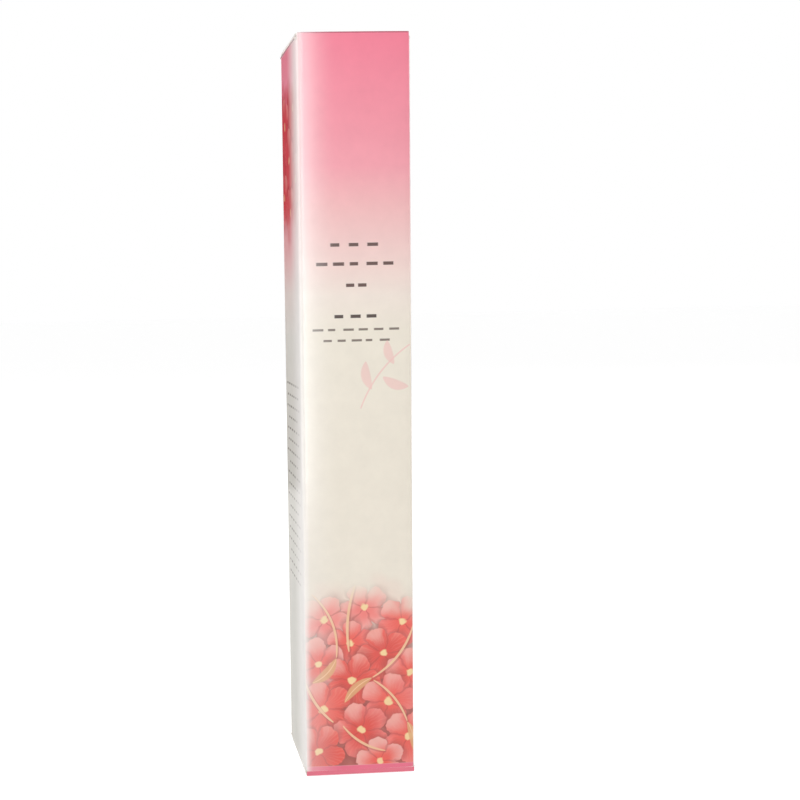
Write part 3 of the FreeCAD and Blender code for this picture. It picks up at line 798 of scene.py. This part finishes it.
def flap_print():
    """The outside of the flaps: pink, and where a dust flap starts on its wall, the wall's own ground with
    its painted shade and painted sheen.
    """
    material, tree, shader = new_material("flap print")
    sheet_place = put(tree, "ShaderNodeAttribute", attribute_name="sheet_place").outputs["Vector"]
    point = vector_calc(tree, "SCALE", sheet_place, 1 / MM)
    parts = put(tree, "ShaderNodeSeparateXYZ", point).outputs
    at_top = ease(tree, parts[2], END_REACH, CARTON_TOP - END_REACH)
    cloud = times(tree, ease(tree, noise(tree, point, CLOUD_SCALE), *NOISE_SPAN), CLOUD_SHARE)
    colour = blend_colour(tree, cloud, blend_colour(tree, at_top, FLAP_LOW, FLAP_HIGH), FLAP_CLOUD)
    on_wall = ease(tree, calc(tree, "ABSOLUTE", parts[0]), *WALL_STRIP)
    # The wall's ground, painted darker low down as shade, then its painted sheen towards the front fold
    wall_ink = blend_colour(tree, at_top, SIDE_GROUND_AND_SHADE[0][1], SIDE_GROUND_AND_SHADE[-1][1])
    wall_ink = paint_fold_sheen(tree, wall_ink, parts[1], *SIDE_PAINTED_SHEEN)
    colour = blend_colour(tree, on_wall, colour, wall_ink)
    finish_board(tree, shader, point, colour, parts[0], wear=0.15)
    return material


def bare_board(name, tone, fibre_tone):
    """Uncoated board: warm white pulp with grey fibres."""
    material, tree, shader = new_material(name)
    point = point_in_mm(tree)
    fibres = noise(tree, point, PULP_SCALE, 5.0, 0.65)
    specks = times(tree, ease(tree, noise(tree, point, SPECK_SCALE), *SPECK_BAND), SPECK_SHARE)
    colour = blend_colour(tree, ease(tree, fibres, *PULP_BAND), tone, fibre_tone)
    feed(tree, shader.inputs["Base Color"], blend_colour(tree, specks, colour, SPECK_GREY))
    feed(tree, shader.inputs["Roughness"], scaled(tree, fibres, *NOISE_SPAN, *PULP_ROUGHNESS))
    raise_surface(tree, shader, times(tree, fibres, PULP_HEIGHT), PULP_BUMP)
    return material


flap_outside = flap_print()
inside_board = bare_board("inside board", ink(238, 235, 229), ink(228, 224, 216))
cut_board = bare_board("cut board", ink(246, 243, 238), ink(232, 227, 218))
print("flap and bare board:", [m.name for m in (flap_outside, inside_board, cut_board)])

# %% [markdown]
# The sleeve is one strip of board folded round four corners, so it is one mesh with no joins.
# It is swept as columns round a rounded square. Real folds aren't knife edges: the board starts to
# turn a little before the crease, so each wall drops slightly towards its folds. That soft
# shoulder is what catches the light along the edge.

# %% Mesh of a piece
MERGE_DISTANCE = 1e-7


def add_piece(name, points, faces, materials, face_materials, smooth_angle=40):
    """A closed mesh from points in millimetres, smooth apart from its sharp edges."""
    mesh = bpy.data.meshes.new(name)
    mesh.from_pydata([tuple(v * MM for v in p) for p in points], [], faces)
    for material in materials:
        mesh.materials.append(material)
    mesh.polygons.foreach_set("material_index", face_materials)
    shell = bmesh.new()
    shell.from_mesh(mesh)
    bmesh.ops.remove_doubles(shell, verts=shell.verts, dist=MERGE_DISTANCE)
    bmesh.ops.recalc_face_normals(shell, faces=shell.faces)
    shell.to_mesh(mesh)
    shell.free()
    rest = mesh.attributes.new("sheet_place", "FLOAT_VECTOR", "POINT")
    rest.data.foreach_set("vector", [value for vertex in mesh.vertices for value in vertex.co])
    mesh.polygons.foreach_set("use_smooth", [True] * len(mesh.polygons))
    mesh.set_sharp_from_angle(angle=math.radians(smooth_angle))
    piece = bpy.data.objects.new(name, mesh)
    scene.collection.objects.link(piece)
    print(f"{name}: {len(mesh.vertices)} points, {len(mesh.polygons)} faces")
    return piece


# %% Columns of the sleeve
FOLD_RADIUS, SHOULDER_DROP, SHOULDER_REACH = 0.75, 0.12, 2.2
WALL_COLUMNS, FOLD_COLUMNS = 28, 8
WALL_TURNS = {"front": -90, "right": 0, "back": 90, "left": 180}
WALLS = list(WALL_TURNS)


def sleeve_columns():
    """Columns round the sleeve: the wall, its outward way, and the place on the rounded square."""
    columns = []
    straight = HALF - FOLD_RADIUS
    for wall, start_turn in WALL_TURNS.items():
        out = Vector((math.cos(math.radians(start_turn)), math.sin(math.radians(start_turn))))
        along = Vector((-out.y, out.x))
        for step in range(WALL_COLUMNS):
            over = straight * (2 * step / WALL_COLUMNS - 1)
            drop = SHOULDER_DROP * math.exp(-(straight - abs(over)) / SHOULDER_REACH)
            columns.append((wall, out, out * (HALF - drop) + along * over, over / straight))
        following = WALLS[(WALLS.index(wall) + 1) % len(WALLS)]
        for step in range(FOLD_COLUMNS):
            swing = math.radians(start_turn + 90 * step / FOLD_COLUMNS)
            way = Vector((math.cos(swing), math.sin(swing)))
            centre = out * straight + along * straight
            columns.append((wall if 2 * step < FOLD_COLUMNS else following, way,
                            centre + way * (FOLD_RADIUS - SHOULDER_DROP), 1.0))
    return columns


print("sleeve:", len(sleeve_columns()), "columns round four walls")

# %% Sleeve
BOARD, WALL_HOLLOW, SLEEVE_ROWS = 0.4, 0.05, 72
LID_CREASE, DUST_CREASE = 1.0, 1.1
# From where to where each wall stands, between the creases at its two ends
WALL_SPANS = {"front": (LID_CREASE, CARTON_TOP), "right": (DUST_CREASE, CARTON_TOP - DUST_CREASE),
              "back": (0.0, CARTON_TOP - LID_CREASE), "left": (DUST_CREASE, CARTON_TOP - DUST_CREASE)}


def sleeve_points(columns):
    """The outer and then the inner points of each column, from its foot up."""
    points = []
    for wall, out, spot, share in columns:
        low, high = WALL_SPANS[wall]
        for skin in (0, BOARD):
            for row in range(SLEEVE_ROWS + 1):
                rise = row / SLEEVE_ROWS
                hollow = WALL_HOLLOW * (1 - share * share) * math.sin(math.pi * rise) ** 2
                moved = spot - out * (skin + hollow)
                points.append((moved.x, moved.y, low + (high - low) * rise))
    return points


def sleeve():
    """The sleeve: four printed walls, the bare inside, and the cut edges at both ends."""
    columns = sleeve_columns()
    faces, marks = [], []
    stride = SLEEVE_ROWS + 1
    inside, cut = len(WALLS), len(WALLS) + 1
    for index, (wall, *_) in enumerate(columns):
        here, there = 2 * stride * index, 2 * stride * ((index + 1) % len(columns))
        inner_here, inner_there = here + stride, there + stride
        for row in range(SLEEVE_ROWS):
            faces.append((here + row, there + row, there + row + 1, here + row + 1))
            faces.append((inner_here + row + 1, inner_there + row + 1, inner_there + row, inner_here + row))
            marks += [WALLS.index(wall), inside]
        faces.append((here + SLEEVE_ROWS, there + SLEEVE_ROWS,
                      inner_there + SLEEVE_ROWS, inner_here + SLEEVE_ROWS))
        faces.append((inner_here, inner_there, there, here))
        marks += [cut, cut]
    materials = [front_print, right_wall_print, back_wall_print, left_wall_print, inside_board, cut_board]
    return add_piece("board_sleeve", sleeve_points(columns), faces, materials, marks)


board_sleeve = sleeve()
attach(board_sleeve, "carton")
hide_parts("front_panel", "right_panel", "back_panel", "left_panel")

# %% [markdown]
# The end flaps belong to the same sheet as the walls, so each one is drawn as a sheet that starts
# on its wall, turns through the crease and runs on as the flap.
# The bottom end is the top end turned over about the middle.

# %% Sheet with a crease
CREASE_RADIUS, CREASE_STEPS, SHEET_COLUMNS = 0.45, 8, 24


def arc(centre, first, last):
    """Outer points and outward ways on a crease, from one angle to another."""
    turned_points = []
    for step in range(CREASE_STEPS + 1):
        swing = math.radians(first + (last - first) * step / CREASE_STEPS)
        way = (math.cos(swing), math.sin(swing))
        turned_points.append((centre[0] + CREASE_RADIUS * way[0], centre[1] + CREASE_RADIUS * way[1], *way))
    return turned_points


def straight_run(start, end, way, steps):
    """Outer points from start to end, without the start itself."""
    return [(start[0] + (end[0] - start[0]) * k / steps, start[1] + (end[1] - start[1]) * k / steps, *way)
            for k in range(1, steps + 1)]


def folded_sheet(name, path, limits, to_space, bend, node):
    """A sheet of board along a path in its section, as wide as limits says at each point of the path."""
    points, faces, marks = [], [], []
    wide = SHEET_COLUMNS + 1
    outside, inside, cut = 0, 1, 2
    for skin in (0, BOARD):
        for a, b, way_a, way_b in path:
            low, high = limits(a, b)
            for column in range(wide):
                side = low + (high - low) * column / SHEET_COLUMNS
                points.append(to_space(side, a - way_a * skin, b - way_b * skin))
    inner = len(path) * wide
    for row in range(len(path) - 1):
        for column in range(SHEET_COLUMNS):
            first = row * wide + column
            back = inner + first
            faces.append((first, first + 1, first + wide + 1, first + wide))
            faces.append((back + wide, back + wide + 1, back + 1, back))
            marks += [outside, inside]
        for edge in (row * wide, row * wide + SHEET_COLUMNS):
            faces.append((edge, edge + wide, inner + edge + wide, inner + edge))
            marks.append(cut)
    for edge in (0, (len(path) - 1) * wide):
        for column in range(edge, edge + SHEET_COLUMNS):
            faces.append((column, column + 1, inner + column + 1, inner + column))
            marks.append(cut)
    piece = add_piece(name, points, faces, [flap_outside, inside_board, cut_board], marks)
    bend_start, bend_end = ([v * MM for v in to_space(0, *spot)] for spot in bend)
    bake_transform(piece)
    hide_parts(node)
    return piece


print("crease radius", CREASE_RADIUS, "mm in", BOARD, "mm board")

# %% Lid and tuck flap in section
LID_HALF, LID_FRONT, LID_STEPS = 9.8, -8.9, 16
TUCK_HALF, TUCK_CORNER, TUCK_LENGTH, TUCK_LEAN = 9.25, 3.0, 9.7, 8
TUCK_CREASE, TUCK_STEPS, TUCK_CORNER_STEPS = -9.0, 6, 12


def lid_section():
    """Lid, in (y, z): up the back wall, over the crease, then forward."""
    centre = (HALF - CREASE_RADIUS, CARTON_TOP - CREASE_RADIUS)
    foot = (HALF, CARTON_TOP - LID_CREASE, 1, 0)
    forward_run = straight_run((centre[0], CARTON_TOP), (LID_FRONT, CARTON_TOP), (0, 1), LID_STEPS)
    return [foot] + arc(centre, 0, 90) + forward_run


def lid_limits(y, z):
    """The lid has straight sides."""
    return -LID_HALF, LID_HALF


def tuck_section():
    """Tuck flap, in (y, z): over the front edge of the lid and down behind the front wall."""
    bend = arc((TUCK_CREASE, CARTON_TOP - CREASE_RADIUS), 90, 180 + TUCK_LEAN)
    y, z, *way = bend[-1]
    down = (math.sin(math.radians(TUCK_LEAN)), -math.cos(math.radians(TUCK_LEAN)))
    corner_at = TUCK_LENGTH - TUCK_CORNER
    upper = straight_run((y, z), (y + down[0] * corner_at, z + down[1] * corner_at), way, TUCK_STEPS)
    tip = (y + down[0] * TUCK_LENGTH, z + down[1] * TUCK_LENGTH)
    lower = straight_run(upper[-1][:2], tip, way, TUCK_CORNER_STEPS)
    return [(LID_FRONT, CARTON_TOP, 0, 1)] + bend + upper + lower


tuck_tip = tuck_section()[-1][1]


def tuck_limits(y, z):
    """Straight sides, then two rounded corners at the free end."""
    left_over = max(z - tuck_tip, 0)
    half = TUCK_HALF
    if left_over < TUCK_CORNER:
        half = TUCK_HALF - TUCK_CORNER + math.sqrt(TUCK_CORNER ** 2 - (TUCK_CORNER - left_over) ** 2)
    return -half, half


print(f"tuck flap reaches down to {tuck_tip:.2f} mm")

# %% Dust flap in section
DUST_BELOW_TOP, DUST_END, DUST_STEPS = 0.475, 2.0, 10
DUST_TOP = CARTON_TOP - DUST_BELOW_TOP
DUST_LENGTH = HALF - DUST_END
DUST_FRONT, DUST_FRONT_SLANT, DUST_BACK, DUST_BACK_SLANT = -8.6, 2.4, 9.45, 4.8
DUST_WIDE_FROM, DUST_WIDE_OVER, DUST_WIDENING = 9.45, 0.2, 0.55


def share_of(value, start, length):
    """How far a value has come along a length, from 0 to 1."""
    return min(max((value - start) / length, 0), 1)


def dust_section():
    """Dust flap, in (distance from the middle outwards, z): up the side wall, over, then inward."""
    centre = (HALF - CREASE_RADIUS, DUST_TOP - CREASE_RADIUS)
    foot = (HALF, CARTON_TOP - DUST_CREASE, 1, 0)
    inward_run = straight_run((centre[0], DUST_TOP), (DUST_END, DUST_TOP), (0, 1), DUST_STEPS)
    return [foot] + arc(centre, 0, 90) + inward_run


def dust_limits(out, z):
    """A slanted front edge and a steeper back one, with the crease itself as wide as the wall."""
    share = share_of(HALF - out, 0, DUST_LENGTH)
    widening = DUST_WIDENING * share_of(out, DUST_WIDE_FROM, DUST_WIDE_OVER)
    return DUST_FRONT + DUST_FRONT_SLANT * share - widening, DUST_BACK - DUST_BACK_SLANT * share


print(f"dust flap lies at {DUST_TOP:.2f} mm and is {DUST_LENGTH:.2f} mm long")

# %% Folded flaps
BEND_INSET, LID_BEND_LOW = 0.25, 0.75
TUCK_BEND_HIGH, TUCK_BEND_LOW, TUCK_BEND_OUT = 0.35, 0.8, 0.4
# Where each crease starts and stops bending, in its section
LID_BEND = ((HALF, CARTON_TOP - LID_BEND_LOW), (HALF - BEND_INSET, CARTON_TOP))
TUCK_BEND = ((TUCK_CREASE, CARTON_TOP - TUCK_BEND_HIGH),
             (TUCK_CREASE - TUCK_BEND_OUT, CARTON_TOP - TUCK_BEND_LOW))
DUST_BEND = ((HALF, CARTON_TOP - DUST_CREASE), (HALF - BEND_INSET, DUST_TOP))


def top_end(x, y, z):
    """The top end is drawn where it is."""
    return (x, y, z)


def bottom_end(x, y, z):
    """The bottom end is the top end turned over."""
    return (x, -y, CARTON_TOP - z)


def sideways(place_end, sign):
    """A dust flap's section runs out to the left or to the right."""
    return lambda side, out, z: place_end(sign * out, side, z)


flaps = []
for end, place_end in (("top", top_end), ("bottom", bottom_end)):
    lid, tuck = f"{end}_lid", f"{end}_tuck"
    flaps.append(folded_sheet(f"{end}_lid_board", lid_section(), lid_limits, place_end,
                              LID_BEND, lid))
    flaps.append(folded_sheet(f"{end}_tuck_board", tuck_section(), tuck_limits, place_end,
                              TUCK_BEND, f"{end}_tuck_flap"))
    for hand, sign in (("left", -1), ("right", 1)):
        flaps.append(folded_sheet(f"{end}_dust_board_{hand}", dust_section(), dust_limits,
                                  sideways(place_end, sign),
                                  DUST_BEND, f"{end}_dust_flap_{hand}"))
print("flaps:", [piece.name for piece in flaps])

# %% [markdown]
# The pen inside is moulded plastic, drawn wire and a clear tube of oil. Its solids already have
# their shapes, so they keep their meshes and only get finishes here. Each finish has a little of
# what moulding or polishing leaves: flow lines, fine scuffs, brushed streaks.

# %% Pen finishes
FLOW_SCALE, FLOW_DEPTH = (0.5, 0.5, 0.12), 0.93
SCUFF_SCALE, SCUFF_SPAN, SCUFF_ROUGHNESS, SCUFF_BUMP = (6.0, 6.0, 1.2), (0.35, 0.7), (0.85, 1.3), 0.5
STREAK_DEPTH, STREAK_ROUGHNESS = 0.82, (0.7, 1.4)


def deeper(tone, share):
    """The same colour, darker."""
    return tuple(c * share for c in tone[:3]) + (1.0,)


def moulded(name, tone, roughness, relief=0.004, **sockets):
    """Moulded plastic: an even tone with faint flow marks and scuffs."""
    material, tree, shader = new_material(name)
    point = point_in_mm(tree)
    flow = ease(tree, noise(tree, point, FLOW_SCALE, 3.0), *SCUFF_SPAN)
    scuffs = noise(tree, point, SCUFF_SCALE, 4.0, 0.7)
    feed(tree, shader.inputs["Base Color"], blend_colour(tree, flow, tone, deeper(tone, FLOW_DEPTH)))
    dulled = [roughness * share for share in SCUFF_ROUGHNESS]
    feed(tree, shader.inputs["Roughness"], scaled(tree, scuffs, *SCUFF_SPAN, *dulled))
    raise_surface(tree, shader, times(tree, scuffs, relief), SCUFF_BUMP)
    set_sockets(shader, **sockets)
    return material


def metal(name, tone, roughness, streaks):
    """Metal with streaks from drawing or turning: streaks gives how fine they are on each axis."""
    material, tree, shader = new_material(name)
    lines = noise(tree, point_in_mm(tree), streaks, 3.0, 0.7)
    streak = ease(tree, lines, *NOISE_SPAN)
    feed(tree, shader.inputs["Base Color"], blend_colour(tree, streak, tone, deeper(tone, STREAK_DEPTH)))
    dulled = [roughness * share for share in STREAK_ROUGHNESS]
    feed(tree, shader.inputs["Roughness"], scaled(tree, lines, *NOISE_SPAN, *dulled))
    set_sockets(shader, Metallic=1.0)
    return material


finishes = {
    "knob_plastic": moulded("pink knob plastic", ink(236, 132, 150), 0.22),
    "white_plastic": moulded("white moulded plastic", ink(240, 238, 233), 0.34),
    "clear_plastic": moulded("clear plastic", ink(250, 252, 252), 0.03, 0.0006,
                             Transmission_Weight=1.0, IOR=1.49),
    "acetal": moulded("natural acetal", ink(232, 230, 224), 0.4, Subsurface_Weight=0.1),
    "spring_steel": metal("drawn spring steel", ink(196, 198, 202), 0.22, (2.0, 2.0, 9.0)),
    "ferrule_steel": metal("polished ferrule steel", ink(214, 214, 216), 0.14, (9.0, 9.0, 0.6)),
    "seal_rubber": moulded("seal rubber", ink(40, 40, 43), 0.6, 0.01),
    "bristle": moulded("nylon bristle", ink(244, 232, 212), 0.35, 0.001, Transmission_Weight=0.25),
    "oil": moulded("amber oil", ink(250, 214, 150), 0.02, 0.0002, Transmission_Weight=1.0, IOR=1.46),
}
print("pen finishes:", list(finishes))

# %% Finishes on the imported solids
finished_nodes = {
    "knob_plastic": ("twist_knob", "knob_end_plug"),
    "clear_plastic": ("barrel", "cap"),
    "white_plastic": ("cap_liner", "brush_holder", "end_bush", "piston"),
    "acetal": ("drive_tube", "retaining_clip", "ratchet_ring", "screw_nut", "lead_screw", "feed_tube"),
    "spring_steel": ("click_spring",),
    "ferrule_steel": ("brush_ferrule",),
    "seal_rubber": ("piston_o_ring", "holder_o_ring"),
}


def coat(node, material):
    """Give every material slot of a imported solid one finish."""
    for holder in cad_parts[node].material_slots:
        holder.material = material


coat("glue_flap", inside_board)
for finish, nodes in finished_nodes.items():
    for node in nodes:
        coat(node, finishes[finish])
print("finished solids:", 1 + sum(len(nodes) for nodes in finished_nodes.values()))

# %% [markdown]
# The oil fills the barrel between piston and nose, and the piston pushes it out as the knob turns.
# It is a turned form with a curved edge where it wets the wall.

# %% Oil
OIL_SEGMENTS, OIL_SMOOTH_ANGLE = 48, 60
# Rounded ends of the oil: share of its radius, distance from the end
OIL_FOOT_EDGE = [(0.97, 0.0), (1.0, 0.2)]
OIL_HEAD_EDGE = [(1.0, 0.5), (0.99, 0.15), (0.94, 0.0)]


def turned(name, outline, material):
    """A closed turned form about Z from (radius, height) points that start and end on the axis."""
    points, faces = [(0, 0, outline[0][1])], []
    turns = [2 * math.pi * k / OIL_SEGMENTS for k in range(OIL_SEGMENTS)]
    rings = outline[1:-1]
    for radius, high in rings:
        points += [(radius * math.cos(turn), radius * math.sin(turn), high) for turn in turns]
    points.append((0, 0, outline[-1][1]))
    for k in range(OIL_SEGMENTS):
        following = (k + 1) % OIL_SEGMENTS
        faces.append((0, 1 + following, 1 + k))
        for ring in range(len(rings) - 1):
            low, high = 1 + ring * OIL_SEGMENTS, 1 + (ring + 1) * OIL_SEGMENTS
            faces.append((low + k, low + following, high + following, high + k))
        last = 1 + (len(rings) - 1) * OIL_SEGMENTS
        faces.append((last + k, last + following, len(points) - 1))
    return add_piece(name, points, faces, [material], [0] * len(faces), OIL_SMOOTH_ANGLE)


oil_low, oil_high = (corner[2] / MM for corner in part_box("oil_fill"))
oil_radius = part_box("oil_fill")[1][0] / MM
oil_outline = [(0, oil_low)]
oil_outline += [(oil_radius * share, oil_low + rise) for share, rise in OIL_FOOT_EDGE]
oil_outline += [(oil_radius * share, oil_high - drop) for share, drop in OIL_HEAD_EDGE]
oil_outline.append((0, oil_high))
oil = turned("oil", oil_outline, finishes["oil"])
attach(oil, "pen_body")
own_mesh(oil)
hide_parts("oil_fill")

# %% [markdown]
# The brush is some two hundred nylon bristles, gathered in the ferrule and drawn to a point.
# They repeat by a rule, so Geometry Nodes make them: points on a sunflower spiral, one straight
# bristle on each, and then every bristle is pulled in along its length by the outline of the tuft.

# %% Roots and straight bristles
GOLDEN_ANGLE = 2.39996
HAIR_POINTS, SHORTEST_SHARE, OUTER_SHORTENING = 9, 0.86, 0.10


def put_named(tree, kind, **inputs):
    """Add a node and feed its inputs by name, with _ for each space."""
    node = tree.nodes.new(kind)
    for name, value in inputs.items():
        feed(tree, node.inputs[name.replace("_", " ")], value)
    return node


def bristle_roots(tree, given):
    """Points on a sunflower spiral, and how far out each one is, from 0 to 1."""
    index = put(tree, "GeometryNodeInputIndex").outputs[0]
    reach = calc(tree, "SQRT", calc(tree, "DIVIDE", calc(tree, "ADD", index, 0.5), given["Count"]))
    spin = times(tree, index, GOLDEN_ANGLE)
    radius = times(tree, reach, given["Root Radius"])
    spot = put(tree, "ShaderNodeCombineXYZ", times(tree, radius, calc(tree, "COSINE", spin)),
               times(tree, radius, calc(tree, "SINE", spin)), given["Foot"]).outputs[0]
    return put(tree, "GeometryNodePoints", given["Count"], spot).outputs[0], reach


def standing_hairs(tree, given, roots, reach):
    """One straight hair on each root, of uneven length and shorter towards the outside."""
    top = put(tree, "ShaderNodeCombineXYZ", 0.0, 0.0, given["Length"]).outputs[0]
    line = put(tree, "GeometryNodeCurvePrimitiveLine", (0, 0, 0), top).outputs[0]
    hair = put_named(tree, "GeometryNodeResampleCurve", Curve=line, Count=HAIR_POINTS).outputs[0]
    uneven = put(tree, "FunctionNodeRandomValue", SHORTEST_SHARE, 1.0, data_type="FLOAT")
    feed(tree, [s for s in uneven.inputs if s.enabled and s.name == "Seed"][0], given["Seed"])
    random = [s for s in uneven.outputs if s.enabled][0]
    inward = calc(tree, "MULTIPLY_ADD", reach, -OUTER_SHORTENING, 1.0)
    stretch = put(tree, "ShaderNodeCombineXYZ", 1.0, 1.0, times(tree, random, inward)).outputs[0]
    stand = put_named(tree, "GeometryNodeInstanceOnPoints", Points=roots, Instance=hair, Scale=stretch)
    return put(tree, "GeometryNodeRealizeInstances", stand.outputs[0]).outputs[0]


print("bristle:", HAIR_POINTS, "points, length from", SHORTEST_SHARE, "to 1 of the tuft")

# %% Gathered and skinned bristles
HAIR_SIDES, TIP_THINNING = 5, 0.6
# Outline of the tuft: share of its length, share of its width
TUFT_OUTLINE = [(0.0, 0.90), (0.20, 1.0), (0.65, 0.62), (1.0, 0.12)]


def gathered_hairs(tree, given, hairs):
    """The hairs pulled in by the outline of the tuft, and how thick each one is along its length."""
    position = put(tree, "ShaderNodeSeparateXYZ", put(tree, "GeometryNodeInputPosition").outputs[0]).outputs
    rise = calc(tree, "DIVIDE", calc(tree, "SUBTRACT", position[2], given["Foot"]), given["Length"])
    outline = put(tree, "ShaderNodeFloatCurve", 1.0, rise)
    curve = outline.mapping.curves[0]
    curve.points[0].location, curve.points[-1].location = TUFT_OUTLINE[0], TUFT_OUTLINE[-1]
    for place, width in TUFT_OUTLINE[1:-1]:
        curve.points.new(place, width)
    outline.mapping.update()
    pull = outline.outputs[0]
    drawn = put(tree, "ShaderNodeCombineXYZ", times(tree, position[0], pull),
                times(tree, position[1], pull), position[2]).outputs[0]
    gathered = put_named(tree, "GeometryNodeSetPosition", Geometry=hairs, Position=drawn).outputs[0]
    return gathered, calc(tree, "MULTIPLY_ADD", rise, -TIP_THINNING, 1.0)


def skinned_hairs(tree, given, hairs, taper):
    """The hairs as thin tubes with closed ends."""
    section = put(tree, "GeometryNodeCurvePrimitiveCircle", mode="RADIUS")
    section.inputs["Resolution"].default_value = HAIR_SIDES
    feed(tree, section.inputs["Radius"], given["Hair Radius"])
    return put_named(tree, "GeometryNodeCurveToMesh", Curve=hairs, Profile_Curve=section.outputs[0],
                     Scale=taper, Fill_Caps=True).outputs[0]


print("tuft outline:", TUFT_OUTLINE)

# %% Bristles by Geometry Nodes
BRISTLE_DEPTH = 1.5 * MM


def bristle_tree():
    """The whole tree, with named inputs for its sizes."""
    tree = bpy.data.node_groups.new("bristles", "GeometryNodeTree")
    for label, kind in (("Count", "Int"), ("Foot", "Float"), ("Length", "Float"), ("Root Radius", "Float"),
                        ("Hair Radius", "Float"), ("Seed", "Int"), ("Material", "Material")):
        tree.interface.new_socket(label, in_out="INPUT", socket_type="NodeSocket" + kind)
    tree.interface.new_socket("Geometry", in_out="OUTPUT", socket_type="NodeSocketGeometry")
    given = put(tree, "NodeGroupInput").outputs
    roots, reach = bristle_roots(tree, given)
    hairs, taper = gathered_hairs(tree, given, standing_hairs(tree, given, roots, reach))
    real = put(tree, "GeometryNodeRealizeInstances", skinned_hairs(tree, given, hairs, taper)).outputs[0]
    dressed = put_named(tree, "GeometryNodeSetMaterial", Geometry=real, Material=given["Material"])
    tree.links.new(dressed.outputs[0], put(tree, "NodeGroupOutput").inputs[0])
    return tree


tuft_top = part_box("brush_tuft")[1][2]
bristle_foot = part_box("brush_ferrule")[1][2] - BRISTLE_DEPTH
maker = bpy.data.objects.new("bristle_maker", bpy.data.meshes.new("bristle_maker"))
scene.collection.objects.link(maker)
growth = maker.modifiers.new("bristles", "NODES")
growth.node_group = bristle_tree()
sizes = {"Count": 210, "Foot": bristle_foot, "Length": tuft_top - bristle_foot, "Root Radius": 1.72 * MM,
         "Hair Radius": 0.055 * MM, "Seed": 7, "Material": finishes["bristle"]}
for item in growth.node_group.interface.items_tree:
    if item.in_out == "INPUT":
        growth[item.identifier] = sizes[item.name]
grown = maker.evaluated_get(bpy.context.evaluated_depsgraph_get())
bristle_mesh = bpy.data.meshes.new_from_object(grown)
bpy.data.objects.remove(maker)
bristles = bpy.data.objects.new("bristles", bristle_mesh)
scene.collection.objects.link(bristles)
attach(bristles, "pen_body")
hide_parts("brush_tuft")
print("bristles:", len(bristle_mesh.vertices), "points,", len(bristle_mesh.polygons), "faces")
